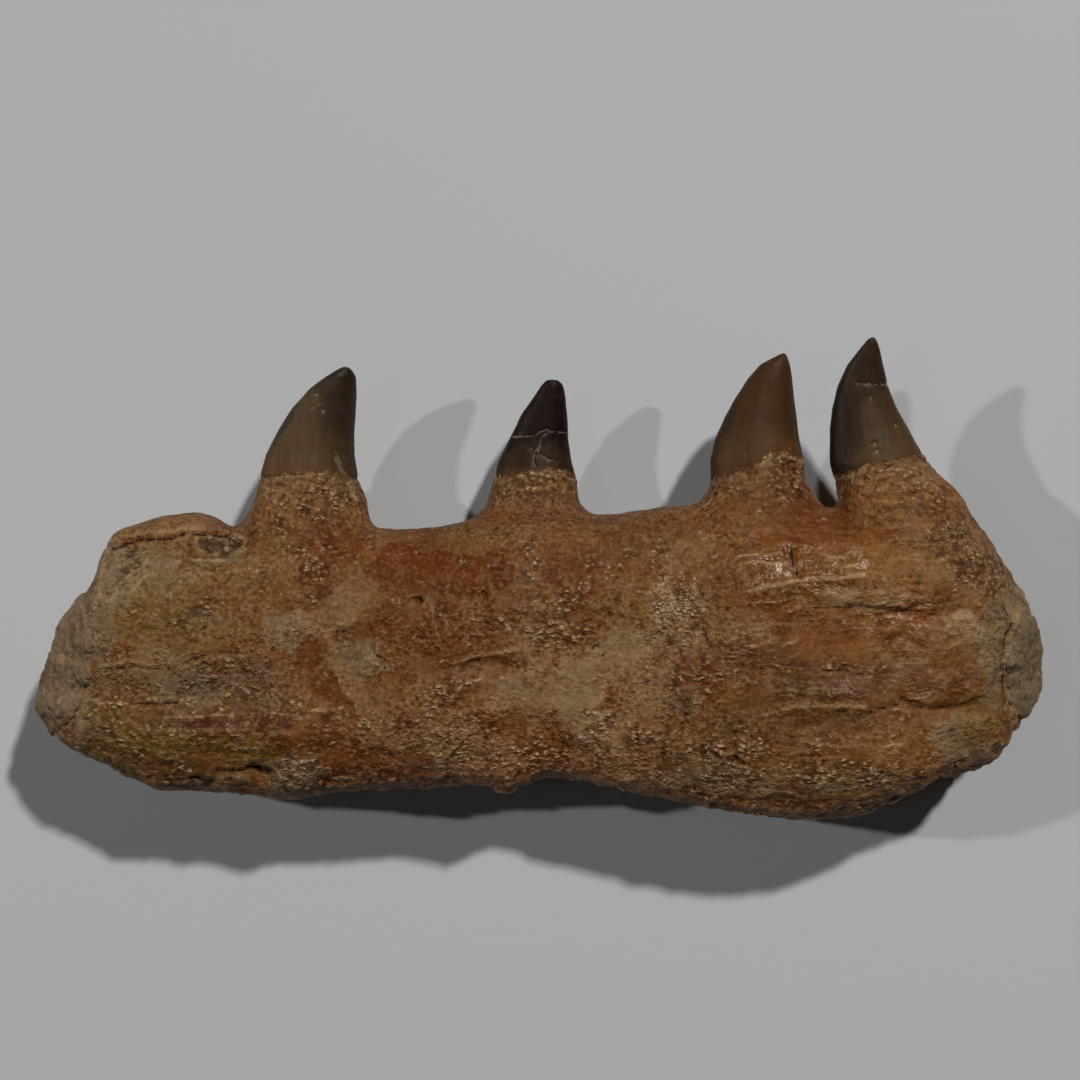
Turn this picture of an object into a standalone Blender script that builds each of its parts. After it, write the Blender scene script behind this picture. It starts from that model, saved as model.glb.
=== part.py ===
"""Fossil mosasaur jaw section with four teeth, lying on its side.

Metres, +Z up. X runs along the jaw from its front end to its rear end, Y
points to the tooth tips, and the jaw rests on a flat at Z = 0. The numbers
below are millimetres.
"""

import math

import bmesh
import bpy
import numpy as np
from mathutils import Vector, noise

MM = 0.001

# Jaw body: the edge that carries the teeth and the lower edge, as (x, y).
TOOTH_EDGE = [
    (-149.6, -34.6), (-148.2, -30.0), (-146.9, -24.5), (-144.5, -19.0), (-142.4, -12.5),
    (-138.5, -7.2), (-133.0, -2.3), (-131.3, 3.5), (-129.3, 10.8), (-126.5, 14.0),
    (-120.5, 16.1), (-112.0, 18.3), (-102.5, 19.3), (-98.0, 17.6), (-94.0, 14.8),
    (-72.0, 15.6), (-50.0, 14.4), (-42.0, 13.9), (-28.0, 15.0), (-18.0, 17.4),
    (5.0, 19.0), (20.0, 18.2), (33.0, 20.4), (44.0, 21.4), (66.0, 21.6),
    (84.0, 21.0), (87.4, 19.6), (96.0, 24.0), (111.0, 30.5), (117.5, 30.6),
    (123.6, 25.4), (130.0, 16.4), (135.8, 8.7), (138.6, 3.0), (142.4, -1.8),
    (146.9, -10.8), (148.4, -15.2), (149.3, -20.0), (149.9, -31.0),
]
LOWER_EDGE = [
    (-149.6, -37.4), (-147.6, -43.8), (-144.5, -47.3), (-138.5, -51.8), (-132.5, -54.7),
    (-126.5, -57.2), (-120.5, -61.1), (-113.0, -63.7), (-94.0, -64.3), (-72.5, -66.6),
    (-60.0, -64.1), (-30.0, -62.6), (-13.5, -62.3), (-11.0, -65.4), (-5.0, -62.2),
    (2.0, -60.2), (14.0, -60.8), (27.0, -64.2), (47.6, -68.2), (62.6, -71.0),
    (77.6, -71.8), (91.0, -71.3), (101.6, -68.4), (112.0, -62.6), (120.0, -59.0),
    (131.0, -56.6), (135.8, -53.6), (138.6, -49.6), (140.0, -45.6), (144.0, -43.0),
    (146.9, -38.9), (149.0, -35.6), (149.9, -33.0),
]
# Underside and upper face of the lying jaw, as (x, lowest z, highest z).
THICKNESS = [
    (-149.6, 15, 33), (-147.0, 10, 39), (-141.0, 7, 43), (-132.0, 4, 46),
    (-118.0, 0, 48), (-85.0, -2, 49), (-55.0, -1, 50), (10.0, -2, 51), (60.0, -2, 54),
    (92.0, -2, 55), (112.0, 0, 53), (130.0, 4, 49), (143.0, 8, 42), (149.9, 14, 34),
]
SECTION_POWER = 2.5      # 2 is an ellipse, higher is squarer
LOWER_POWER = 3.8        # the same for the half away from the teeth
SECTION_POINTS = 56
STATION_STEP = 1.5

# Teeth: name, height of the crown's middle above the rest at its foot and at
# its tip, how many degrees its front edge is turned up, and the crown's two
# cutting edges as (y, front x, rear x).
TEETH = [
    ("tooth_1", 24.2, 29.0, 24, [
        (30.5, -83.9, -55.1), (36.5, -82.2, -56.1), (44.0, -78.5, -56.1), (50.0, -74.7, -55.5),
        (56.0, -69.2, -55.2), (59.6, -64.4, -55.1), (61.8, -60.8, -56.2), (62.8, -58.9, -57.4)]),
    ("tooth_2", 20.8, 24.8, 8, [
        (28.8, -14.3, 11.2), (34.4, -13.0, 9.5), (41.0, -10.0, 8.3), (48.5, -6.5, 7.8),
        (54.5, -2.4, 7.1), (57.8, -0.2, 6.3), (59.1, 1.3, 4.7)]),
    ("tooth_3", 29.5, 32.5, 8, [
        (29.0, 50.7, 78.6), (34.4, 50.4, 79.1), (41.0, 52.0, 77.7), (47.6, 55.0, 76.8),
        (53.0, 58.0, 76.0), (58.7, 61.6, 75.4), (63.2, 65.5, 74.6), (65.6, 70.0, 73.7),
        (66.5, 71.9, 73.1)]),
    ("tooth_4", 34.5, 42.0, 8, [
        (33.5, 86.0, 114.9), (38.0, 86.1, 113.3), (44.0, 86.5, 110.3), (50.6, 87.5, 107.1),
        (57.5, 89.1, 104.4), (63.5, 91.7, 102.6), (68.0, 95.1, 101.3), (70.7, 97.1, 100.2),
        (71.6, 98.3, 99.2)]),
]
CROWN_FLATTENING = 0.54  # depth of a crown's foot against its width
TIP_FLATTENING = 0.65    # the same at its tip
CROWN_POWER = 1.95
CROWN_LEAN = 2.7         # 1 rises evenly to the tip, higher rises only near it
CROWN_POINTS = 20
ROOT_DEPTH = 8.0
ROOT_TAPER = 3.6

# Bone pedestals under the teeth, as (y, front x, rear x) from inside the jaw
# up to the foot of each crown.
PEDESTALS = [
    [(4.0, -98.0, -45.0), (14.0, -91.0, -49.6), (18.5, -87.5, -51.6), (23.0, -85.8, -52.4),
     (27.5, -85.0, -53.9), (32.0, -84.0, -55.0)],
    [(8.0, -28.0, 22.0), (18.0, -20.0, 16.0), (21.5, -15.8, 11.6), (26.0, -14.9, 11.4),
     (30.0, -14.4, 11.3)],
    [(11.0, 37.0, 87.0), (20.6, 44.6, 84.4), (24.2, 49.0, 82.0), (27.0, 50.4, 80.4),
     (31.0, 50.4, 79.2)],
    [(12.0, 88.0, 128.0), (22.0, 89.2, 126.0), (28.0, 87.6, 121.2), (35.0, 86.0, 115.2)],
]
PEDESTAL_FLARE = 9.0
PEDESTAL_RIM = 0.7
PEDESTAL_POWER = 2.1
PEDESTAL_POINTS = 40

# Where the bone is broken off and the rock shows, as (x, y).
FRONT_BREAK = [
    (-139.7, -6.3), (-134.9, -8.9), (-132.6, -13.5), (-132.0, -20.0), (-132.5, -28.0),
    (-135.5, -36.6), (-139.7, -41.9), (-145.2, -46.4), (-149.0, -50.0),
]
REAR_BREAK = [
    (149.5, -11.6), (142.4, -13.7), (139.6, -17.5), (138.2, -23.0), (137.7, -31.0),
    (138.4, -36.8), (140.8, -39.6), (145.4, -41.6), (149.5, -43.5),
]
TOOTH_GAP = 0.3
BREAK_GAP = 0.45

# Dents and swellings on the upper face: x, y, half length, half width, turn
# in degrees, and height above (or depth below) the face around them.
FORMS = [
    (-142.0, -24.0, 6.0, 15.0, 0, -1.6),    # worn rock at the front end
    (144.5, -27.0, 4.0, 11.0, 0, -1.6),     # worn rock at the rear end
    (-112.5, 10.8, 17.0, 1.9, 3, -2.2),     # split under the upper flap
    (-96.8, 8.4, 7.0, 4.4, 0, -5.5),        # empty tooth socket
    (-111.0, -9.0, 24.0, 12.0, 4, 1.6),     # swelling over the front end
    (-105.0, -34.0, 26.0, 5.0, 0, -2.0),    # long trough
    (-94.0, -45.5, 30.0, 4.5, 0, 1.6),      # ridge below the trough
    (-81.0, -58.0, 4.0, 3.2, 0, -3.0),      # hollow by the lower edge
    (-72.5, -59.5, 7.0, 5.0, 0, 2.0),       # lump by the lower edge
    (-59.0, -27.0, 13.0, 9.0, -50, -1.6),   # worn patch
    (-36.0, -7.2, 2.6, 2.4, 0, -1.6),       # large nerve opening
    (-16.7, -5.2, 2.0, 1.9, 0, -1.2),       # small nerve opening
    (-33.0, 1.5, 30.0, 7.0, 0, 1.2),        # swelling between two teeth
    (-20.0, -26.2, 12.0, 2.6, 5, -1.2),     # step across the middle
    (-30.0, -42.0, 26.0, 8.0, 0, 1.4),      # lower swelling
    (2.0, -49.0, 15.0, 9.0, -30, -2.8),     # waist
    (24.0, -22.0, 10.0, 8.0, 0, -1.2),      # filled hollow
    (34.0, 4.0, 18.0, 6.0, 0, -1.4),        # hollow between two teeth
    (76.0, -1.0, 34.0, 8.0, 2, 2.4),        # crest under the rear teeth
    (104.0, -10.2, 23.0, 1.8, 0, -1.0),     # upper long crack
    (78.0, -25.5, 36.0, 4.0, 2, -1.0),      # long hollow
    (118.0, -38.2, 18.0, 2.2, 4, -1.6),     # lower long crack
    (80.0, -41.5, 17.0, 1.8, -3, -1.0),     # step beside the lower crack
    (84.0, -53.0, 32.0, 10.0, -3, 1.8),     # lower rear swelling
]
LUMP_HEIGHT, LUMP_SIZE = 0.9, 14.0
FIBRE_HEIGHT, FIBRE_LENGTH, FIBRE_WIDTH = 0.45, 26.0, 5.0
BREAK_HEIGHT, BREAK_SIZE = 1.5, 5.0
BREAK_START, BREAK_FADE = 131.0, 6.0
SIDE_ROUGHNESS = 0.45    # roughness of the edges against that of the broad faces

VOXEL = 1.6
SOFTENING = 4
BODY_TRIANGLES = 7000

BONE_COLOUR = (0.120, 0.052, 0.019)
ROCK_COLOUR = (0.112, 0.078, 0.046)
TOOTH_COLOURS = [(0.045, 0.028, 0.018), (0.020, 0.013, 0.009),
                 (0.060, 0.028, 0.017), (0.048, 0.030, 0.019)]


def clear_scene():
    """Remove every object that a new file brings."""
    for item in list(bpy.data.objects):
        bpy.data.objects.remove(item, do_unlink=True)


def new_collection(name):
    collection = bpy.data.collections.new(name)
    bpy.context.scene.collection.children.link(collection)
    return collection


def material(name, colour, roughness):
    """A plain Principled material."""
    result = bpy.data.materials.new(name)
    result.use_nodes = True
    shader = result.node_tree.nodes["Principled BSDF"]
    shader.inputs["Base Color"].default_value = (*colour, 1.0)
    shader.inputs["Roughness"].default_value = roughness
    shader.inputs["Metallic"].default_value = 0.0
    return result


def mesh_object(name, mesh, collection):
    item = bpy.data.objects.new(name, mesh)
    collection.objects.link(item)
    return item


def apply_modifiers(item):
    """Replace an object's mesh with its evaluated mesh."""
    bpy.context.view_layer.update()
    evaluated = item.evaluated_get(bpy.context.evaluated_depsgraph_get())
    mesh = bpy.data.meshes.new_from_object(evaluated)
    item.modifiers.clear()
    item.data = mesh


def triangle_count(mesh):
    return sum(len(face.vertices) - 2 for face in mesh.polygons)


def oval(middle, along, across, power, count, back_power=None):
    """Points of a superellipse around middle; along and across are its half axes.

    The half that points away from along may have a power of its own.
    """
    points = []
    for k in range(count):
        turn = 2 * math.pi * k / count
        bend = 2 / (back_power if back_power and math.cos(turn) < 0 else power)
        a = math.copysign(abs(math.cos(turn)) ** bend, math.cos(turn))
        b = math.copysign(abs(math.sin(turn)) ** bend, math.sin(turn))
        points.append(Vector(middle) + Vector(along) * a + Vector(across) * b)
    return points


def loft(name, rings, collection):
    """A closed skin through rings of points, in millimetres, capped at both ends."""
    shape = bmesh.new()
    rows = [[shape.verts.new(point * MM) for point in ring] for ring in rings]
    for low, high in zip(rows, rows[1:]):
        for k in range(len(low)):
            after = (k + 1) % len(low)
            shape.faces.new((low[k], low[after], high[after], high[k]))
    shape.faces.new(list(reversed(rows[0])))
    shape.faces.new(rows[-1])
    bmesh.ops.recalc_face_normals(shape, faces=shape.faces)
    mesh = bpy.data.meshes.new(name)
    shape.to_mesh(mesh)
    shape.free()
    return mesh_object(name, mesh, collection)


def jaw_rings():
    """Sections across the jaw, from its front end to its rear end."""
    first, last = TOOTH_EDGE[0][0], TOOTH_EDGE[-1][0]
    stations = np.linspace(first, last, round((last - first) / STATION_STEP) + 1)
    rings = []
    for x in stations:
        top = np.interp(x, *zip(*TOOTH_EDGE))
        low = np.interp(x, *zip(*LOWER_EDGE))
        under = np.interp(x, [row[0] for row in THICKNESS], [row[1] for row in THICKNESS])
        upper = np.interp(x, [row[0] for row in THICKNESS], [row[2] for row in THICKNESS])
        middle = (x, (top + low) / 2, (under + upper) / 2)
        rings.append(oval(middle, (0, (top - low) / 2, 0), (0, 0, (upper - under) / 2),
                          SECTION_POWER, SECTION_POINTS, LOWER_POWER))
    return rings


def turned_oval(middle, half, thick, turn, power, count):
    """A section whose front edge is turned up; half is its width seen from above."""
    cosine, sine = math.cos(math.radians(turn)), math.sin(math.radians(turn))
    size = half / math.hypot(half * cosine, thick * sine)
    along = Vector((cosine, 0, -sine)) * half * size
    across = Vector((sine, 0, cosine)) * thick * size
    return oval(middle, along, across, power, count)


def pedestal_rings(rows, height, turn):
    """Sections of one pedestal, wider across the jaw and less turned the deeper they lie."""
    foot, rim = rows[0][0], rows[-1][0]
    crown_half = (rows[-1][2] - rows[-1][1]) / 2 * CROWN_FLATTENING
    rings = []
    for y, front, rear in rows:
        depth = (rim - y) / (rim - foot)
        thick = crown_half + PEDESTAL_RIM + PEDESTAL_FLARE * depth
        rings.append(turned_oval(((front + rear) / 2, y, height), (rear - front) / 2, thick,
                                 turn * (1 - depth), PEDESTAL_POWER, PEDESTAL_POINTS))
    return rings


def tooth_rings(rows, foot_height, tip_height, turn):
    """Sections of one tooth: a short root stub, then the crown up to its tip."""
    foot, tip = rows[0][0], rows[-1][0]
    foot_front, foot_rear = rows[0][1:]
    stub = [(foot - ROOT_DEPTH * (1 - step), foot_front + ROOT_TAPER * (1 - step) ** 2,
             foot_rear - ROOT_TAPER * (1 - step) ** 2) for step in (0.0, 0.5)]
    rings = []
    for y, front, rear in stub + rows:
        climb = max(0.0, (y - foot) / (tip - foot))
        flat = CROWN_FLATTENING + (TIP_FLATTENING - CROWN_FLATTENING) * climb ** 2
        half = (rear - front) / 2
        z = foot_height + (tip_height - foot_height) * climb ** CROWN_LEAN
        rings.append(turned_oval(((front + rear) / 2, y, z), half, half * flat, turn,
                                 CROWN_POWER, CROWN_POINTS))
    return rings


def bump(points, form):
    """How far one dent or swelling moves each point of the upper face, in millimetres."""
    x, y, length, width, turn, height = form
    cosine, sine = math.cos(math.radians(turn)), math.sin(math.radians(turn))
    dx, dy = points[:, 0] - x, points[:, 1] - y
    along = (dx * cosine + dy * sine) / length
    across = (dy * cosine - dx * sine) / width
    return height * np.exp(-(along ** 4 + across ** 2))


def roughness(point):
    """Lumps all over, fibres along the jaw and the coarse breaks at its ends."""
    lumps = LUMP_HEIGHT * noise.fractal(point / LUMP_SIZE, 1.0, 2.0, 3)
    grain = Vector((point.x / FIBRE_LENGTH, point.y / FIBRE_WIDTH, point.z / FIBRE_WIDTH))
    end = min(1.0, max(0.0, (abs(point.x) - BREAK_START) / BREAK_FADE))
    breaks = BREAK_HEIGHT * end * noise.noise(point / BREAK_SIZE)
    return lumps + FIBRE_HEIGHT * noise.noise(grain) + breaks


def carve(item):
    """Move the skin of the body by its forms and its roughness."""
    mesh = item.data
    count = len(mesh.vertices)
    places = np.empty(count * 3)
    mesh.vertices.foreach_get("co", places)
    places = places.reshape(-1, 3)
    normals = np.array([tuple(normal.vector) for normal in mesh.vertex_normals])
    points = places / MM
    facing = np.clip(normals[:, 2], 0, 1)
    lift = sum(bump(points, form) for form in FORMS) * facing
    rough = np.array([roughness(Vector(point)) for point in points])
    rough *= SIDE_ROUGHNESS + (1 - SIDE_ROUGHNESS) * np.abs(normals[:, 2])
    places = places + normals * ((lift + rough) * MM)[:, None]
    mesh.vertices.foreach_set("co", places.ravel())
    mesh.update()


def remesh(item):
    """Fuse overlapping shapes into one even skin and soften where they meet."""
    skin = item.modifiers.new("Skin", "REMESH")
    skin.mode = "VOXEL"
    skin.voxel_size = VOXEL * MM
    soft = item.modifiers.new("Soften", "SMOOTH")
    soft.factor = 0.5
    soft.iterations = SOFTENING
    apply_modifiers(item)


def thin_out(item, triangles):
    """Reduce a mesh to about the given number of triangles."""
    even = item.modifiers.new("Triangles", "TRIANGULATE")
    even.keep_custom_normals = False
    fewer = item.modifiers.new("Fewer", "DECIMATE")
    fewer.ratio = triangles / triangle_count(item.data)
    apply_modifiers(item)


def grown(item, distance, collection):
    """A copy of an object, pushed out by a distance all round."""
    copy = mesh_object(item.name + "_space", item.data.copy(), collection)
    push = copy.modifiers.new("Push", "DISPLACE")
    push.strength = distance * MM
    push.mid_level = 0.0
    apply_modifiers(copy)
    return copy


def cut(item, cutter, operation="DIFFERENCE"):
    """Cut an object by a cutter, or keep only what they share."""
    knife = item.modifiers.new("Cut", "BOOLEAN")
    knife.operation = operation
    knife.object = cutter
    apply_modifiers(item)


def joined(name, parts, collection):
    """One object from the meshes of several, which are removed."""
    shape = bmesh.new()
    for part in parts:
        shape.from_mesh(part.data)
        bpy.data.objects.remove(part)
    mesh = bpy.data.meshes.new(name)
    shape.to_mesh(mesh)
    shape.free()
    return mesh_object(name, mesh, collection)


def build_form(collection):
    """The whole jaw section without its teeth, bone and rock still in one."""
    parts = [loft("jaw", jaw_rings(), collection)]
    for rows, tooth in zip(PEDESTALS, TEETH):
        parts.append(loft("pedestal", pedestal_rings(rows, tooth[1], tooth[3]), collection))
    form = joined("jaw_bone", parts, collection)
    remesh(form)
    carve(form)
    thin_out(form, BODY_TRIANGLES)
    return form


def rest_cutter(collection):
    """A block whose upper face is the plane that the jaw rests on."""
    bpy.ops.mesh.primitive_cube_add(size=1)
    block = bpy.context.object
    block.name = "rest_cutter"
    block.scale = (400 * MM, 300 * MM, 60 * MM)
    block.location.z = -30 * MM
    for old in block.users_collection:
        old.objects.unlink(block)
    collection.objects.link(block)
    return block


def break_cutter(name, border, outside_x, collection):
    """A tall prism over everything between a break and the end of the jaw."""
    curve = bpy.data.curves.new(name, "CURVE")
    curve.dimensions = "2D"
    curve.fill_mode = "BOTH"
    curve.extrude = 80 * MM
    outline = border + [(outside_x, border[-1][1]), (outside_x, border[0][1])]
    spline = curve.splines.new("POLY")
    spline.points.add(len(outline) - 1)
    for point, (x, y) in zip(spline.points, outline):
        point.co = (x * MM, y * MM, 0, 1)
    spline.use_cyclic_u = True
    source = mesh_object(name + "_outline", curve, collection)
    bpy.context.view_layer.update()
    evaluated = source.evaluated_get(bpy.context.evaluated_depsgraph_get())
    mesh = bpy.data.meshes.new_from_object(evaluated)
    bpy.data.objects.remove(source)
    shape = bmesh.new()
    shape.from_mesh(mesh)
    bmesh.ops.remove_doubles(shape, verts=shape.verts, dist=1e-6)
    bmesh.ops.recalc_face_normals(shape, faces=shape.faces)
    shape.to_mesh(mesh)
    shape.free()
    return mesh_object(name, mesh, collection)


def split_off(name, form, border, outside_x, collection, cutters):
    """Part the rock at one end from the bone, with a fine gap between them."""
    block = break_cutter(name + "_cutter", border, outside_x, cutters)
    rock = mesh_object(name, form.data.copy(), collection)
    cut(rock, block, "INTERSECT")
    cut(form, grown(block, BREAK_GAP, cutters))
    return rock


def settle(items):
    """Put the middle of the whole jaw's footprint at the origin, its rest at Z = 0."""
    corners = np.array([vertex.co for item in items for vertex in item.data.vertices])
    low, high = corners.min(axis=0), corners.max(axis=0)
    shift = Vector((-(low[0] + high[0]) / 2, -(low[1] + high[1]) / 2, -low[2]))
    for item in items:
        for vertex in item.data.vertices:
            vertex.co += shift


def main():
    clear_scene()
    parts = new_collection("mosasaur_jaw")
    cutters = new_collection("cutters")
    bone = build_form(parts)
    cut(bone, rest_cutter(cutters))
    rocks = [
        split_off("matrix_front_end", bone, FRONT_BREAK, -170, parts, cutters),
        split_off("matrix_rear_end", bone, REAR_BREAK, 170, parts, cutters),
    ]
    teeth = []
    for name, foot_height, tip_height, turn, rows in TEETH:
        tooth = loft(name, tooth_rings(rows, foot_height, tip_height, turn), parts)
        cut(bone, grown(tooth, TOOTH_GAP, cutters))
        teeth.append(tooth)
    bone.data.materials.append(material("fossil_bone", BONE_COLOUR, 0.45))
    for rock in rocks:
        rock.data.materials.append(material(rock.name, ROCK_COLOUR, 0.9))
    for tooth, colour in zip(teeth, TOOTH_COLOURS):
        tooth.data.materials.append(material(tooth.name + "_enamel", colour, 0.35))
        tooth.data.shade_smooth()
    settle([bone] + rocks + teeth)
    for cutter in cutters.objects:
        cutter.hide_render = True
        cutter.display_type = "WIRE"


main()
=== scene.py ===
"""Models and finishes a fossil mosasaur jaw section round its solid frame."""

import math

import bpy
import numpy as np
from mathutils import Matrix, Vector, noise


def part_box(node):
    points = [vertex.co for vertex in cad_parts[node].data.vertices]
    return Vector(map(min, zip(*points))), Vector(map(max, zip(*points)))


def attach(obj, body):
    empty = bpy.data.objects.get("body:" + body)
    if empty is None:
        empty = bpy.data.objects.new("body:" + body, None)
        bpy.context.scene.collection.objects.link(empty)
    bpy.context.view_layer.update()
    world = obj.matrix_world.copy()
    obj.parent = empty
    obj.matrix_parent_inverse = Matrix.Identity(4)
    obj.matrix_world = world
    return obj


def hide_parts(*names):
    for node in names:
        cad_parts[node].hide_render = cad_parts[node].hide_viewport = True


bl_info = {
    "name": "Fossil Mosasaur Jaw",
    "version": (1, 0, 0),
    "blender": (4, 5, 0),
    "location": "View3D > Sidebar > Fossil Jaw",
    "description": "Models and finishes a fossil mosasaur jaw section with four teeth",
    "category": "Object",
}

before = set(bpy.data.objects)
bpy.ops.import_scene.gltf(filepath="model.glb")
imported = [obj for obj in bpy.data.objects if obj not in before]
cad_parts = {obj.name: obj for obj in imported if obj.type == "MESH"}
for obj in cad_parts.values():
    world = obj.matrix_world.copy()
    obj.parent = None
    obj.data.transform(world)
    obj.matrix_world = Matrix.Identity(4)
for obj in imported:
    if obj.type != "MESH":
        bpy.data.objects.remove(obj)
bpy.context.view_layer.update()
MM = 0.001
BODY = "root"

# Lengths in the tables below are millimetres: X along the jaw, Y towards the
# tooth tips, Z up from the resting side to the side that shows.

EYE = (-0.45, 10.95, 660.0)    # the tables below were drawn as seen from here
DRAWN_HEIGHT = 27.0            # the height at which their places are true
VIEW_WIDTH = 324.0             # the stretch along X that the view takes in there
SENSOR_WIDTH = 36.0

# Cracks in the upper face: path, half width, depth.
CRACKS = [
    ([(-129.8, 8.9), (-125, 10.7), (-119.9, 11), (-114.8, 11.3), (-110.9, 12.2),
      (-105.6, 12.8), (-100.4, 12.8), (-93.8, 12.5)], 0.4, 1.1),
    ([(-131.7, -27.9), (-127.1, -27.6), (-122.6, -27.3), (-117.3, -27.6), (-110.9, -27.3),
      (-107, -25.7), (-103.1, -24.3), (-97.1, -23), (-91.7, -22.4)], 0.25, 0.7),
    ([(-123.4, -37.6), (-115.9, -38.3), (-109, -37.7)], 0.3, 0.4),
    ([(-97.7, -59), (-92, -58.4), (-86.9, -58.1), (-81.5, -58.1)], 0.4, 0.9),
    ([(-105.5, -61.1), (-102.5, -61.4), (-99.2, -62)], 0.7, 1.2),
    ([(53.3, -9.7), (58.5, -9), (64, -8)], 0.25, 0.4),
    ([(81.3, -9.3), (89.9, -10), (97.4, -9.2), (104.3, -9.9), (112.4, -10.3),
      (117.9, -11.3)], 0.3, 0.7),
    ([(109, -9.5), (112.4, -8.6), (119.3, -7.9)], 0.3, 0.5),
    ([(102.9, -19.1), (106.1, -18.2), (109.1, -17.4)], 0.35, 0.6),
    ([(74.3, 8), (75.2, 5.3), (76.8, 1.4), (78, -0.2)], 0.38, 0.9),
    ([(88.6, -40.6), (94.7, -41.9), (98.9, -41), (103.6, -38.9), (107.6, -38.6)], 0.3, 0.7),
    ([(107.7, -35.9), (111.8, -37.9), (113.9, -39.2)], 0.45, 0.9),
    ([(115.2, -39.2), (123.4, -39.2), (128.6, -38), (132.9, -36.5)], 0.28, 0.6),
    ([(100.9, -32.4), (100.6, -36.5)], 0.25, 0.4),
    ([(101.6, -59.3), (107.6, -60.5)], 0.35, 0.7),
    ([(-50.9, -21.2), (-49.1, -23.6), (-46.7, -25.1), (-47.3, -27.5)], 0.38, 0.8),
    ([(-61.4, -17.3), (-59, -16.1), (-56.9, -15.2)], 0.45, 0.8),
    ([(-21.6, -25.5), (-15.2, -25.2), (-9.8, -26.8)], 0.15, 0.3),
    ([(47.1, -4.1), (49.4, -7.1)], 0.35, 0.6),
    ([(47.7, -15.5), (50, -19.4), (51.2, -22)], 0.4, 0.8),
    ([(31.1, -20.7), (35.7, -16.8), (38.3, -15.5)], 0.25, 0.5),
    ([(15.2, -21.5), (17, -20.3), (18.5, -22.1), (17.6, -24.2), (15.5, -23.9)], 0.25, 0.5),
    ([(57.2, -54.7), (61, -56.3)], 0.4, 0.6),
    ([(74, -26), (82, -27.5), (90, -28.4), (100.6, -29.6)], 0.2, 0.4),
    ([(107.5, 20.6), (109.5, 19), (111.4, 16.4)], 0.25, 0.4),
    ([(139, -8.5), (140.6, -14), (138.6, -22), (138.2, -30), (139.4, -38)], 0.25, 0.5),
    ([(-49.7, -41.6), (-46.4, -44)], 0.35, 0.5),
    ([(-47, -52.7), (-44.5, -53.8)], 0.35, 0.5),
    ([(-29.4, -55.8), (-23, -50.6)], 0.25, 0.4),
]
# Thin raised seams with pale edges, partly pale grains and partly a painted highlight: path,
# half width, height.
SEAMS = [
    ([(-134.3, -37.7), (-122.6, -38.6), (-117.5, -39.4)], 0.45, 0.4),
    ([(-113.3, -41.9), (-104.3, -42.3), (-92.6, -41.6), (-84.8, -42.9), (-78.2, -41.9),
      (-72.5, -42.5)], 0.45, 0.4),
    ([(-92.6, -41.6), (-91.7, -37.6)], 0.35, 0.3),
    ([(-131.9, -26.6), (-127, -26.2), (-122.6, -26), (-117.5, -26.3)], 0.4, 0.3),
    ([(-123.2, -5.1), (-117.5, 0.8), (-108.2, 5.3), (-104.3, 6.2)], 0.35, 0.25),
    ([(-127.8, -5.1), (-124.5, 0.2), (-119.9, 2.7), (-118, 5.6)], 0.45, 0.4),
    ([(-104.3, 5.3), (-99.8, 4.1), (-93.8, 5.3), (-88.7, 8.3)], 0.6, 0.3),
    ([(-112.1, -5.9), (-108.5, -1.1), (-105.5, 1.4), (-101, 3.8)], 0.3, 0.2),
    ([(-66.6, -19.4), (-62.7, -27.8), (-57.5, -36.3), (-53, -42.8), (-46.4, -49.4)], 0.5, 0.4),
    ([(-68.6, -39.5), (-64.1, -40.7), (-59.6, -38.6)], 0.7, 0.4),
    ([(-29, -26.6), (-21.5, -24.2), (-14.9, -23.6), (-11, -22.7), (-6.5, -21.5),
      (-2, -21.5), (1, -23.6), (1.4, -26.6), (-1, -28.7)], 0.45, 0.4),
    ([(-27.5, -37.1), (-23.9, -33.5), (-21.5, -31.7), (-17.9, -30.2)], 0.5, 0.3),
    ([(61.7, -4.4), (67.7, -3.2), (74.3, -1.5), (78.8, -0.8), (86.6, -0.5), (96.5, -0.2)],
     0.55, 0.6),
    ([(78.8, -2.9), (82.1, -5.1), (88.5, -5.8), (91.7, -6.8), (95.6, -5.1)], 0.5, 0.5),
    ([(58.8, 5.6), (63, 6.6), (67, 6), (71.5, 6.9)], 0.5, 0.5),
    ([(61, 3.4), (65.5, 3.9), (70, 3), (73.5, 3.6)], 0.45, 0.4),
    ([(84.8, 6.2), (88.6, 5.4), (92.2, 6.8), (97, 4.6)], 0.5, 0.5),
    ([(86, 2.6), (90.5, 2), (94.6, 3)], 0.4, 0.4),
    ([(66.5, -41.6), (70.4, -40.4), (77.6, -39), (84.6, -38.6), (93.2, -38.3),
      (96.5, -39.3)], 0.5, 0.5),
    ([(36.2, -0.2), (42.8, 0)], 0.45, 0.4),
    ([(61.1, -8), (68.3, -7.4), (73.4, -7.1)], 0.4, 0.4),
    ([(47.6, 10.7), (52, 12.2)], 0.4, 0.3),
    ([(105.5, -39.9), (109.1, -40.8), (112.4, -41.1)], 0.6, 0.4),
    ([(19.4, -31), (18.8, -34.7), (17.6, -37.1)], 0.5, 0.3),
    ([(63.2, -21), (68, -19.6), (72.5, -20.6), (77, -19.4)], 0.45, 0.4),
    ([(57.2, -19), (60.4, -20.6), (63.4, -20.8)], 0.5, 0.4),
    ([(101.5, -50.8), (105, -50), (109, -51)], 0.5, 0.4),
    ([(101.2, -53.4), (106.2, -52.9)], 0.5, 0.4),
    ([(-58.4, 28.6), (-56.8, 25.4), (-55.5, 22.2)], 0.7, 0.5),
]
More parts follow.
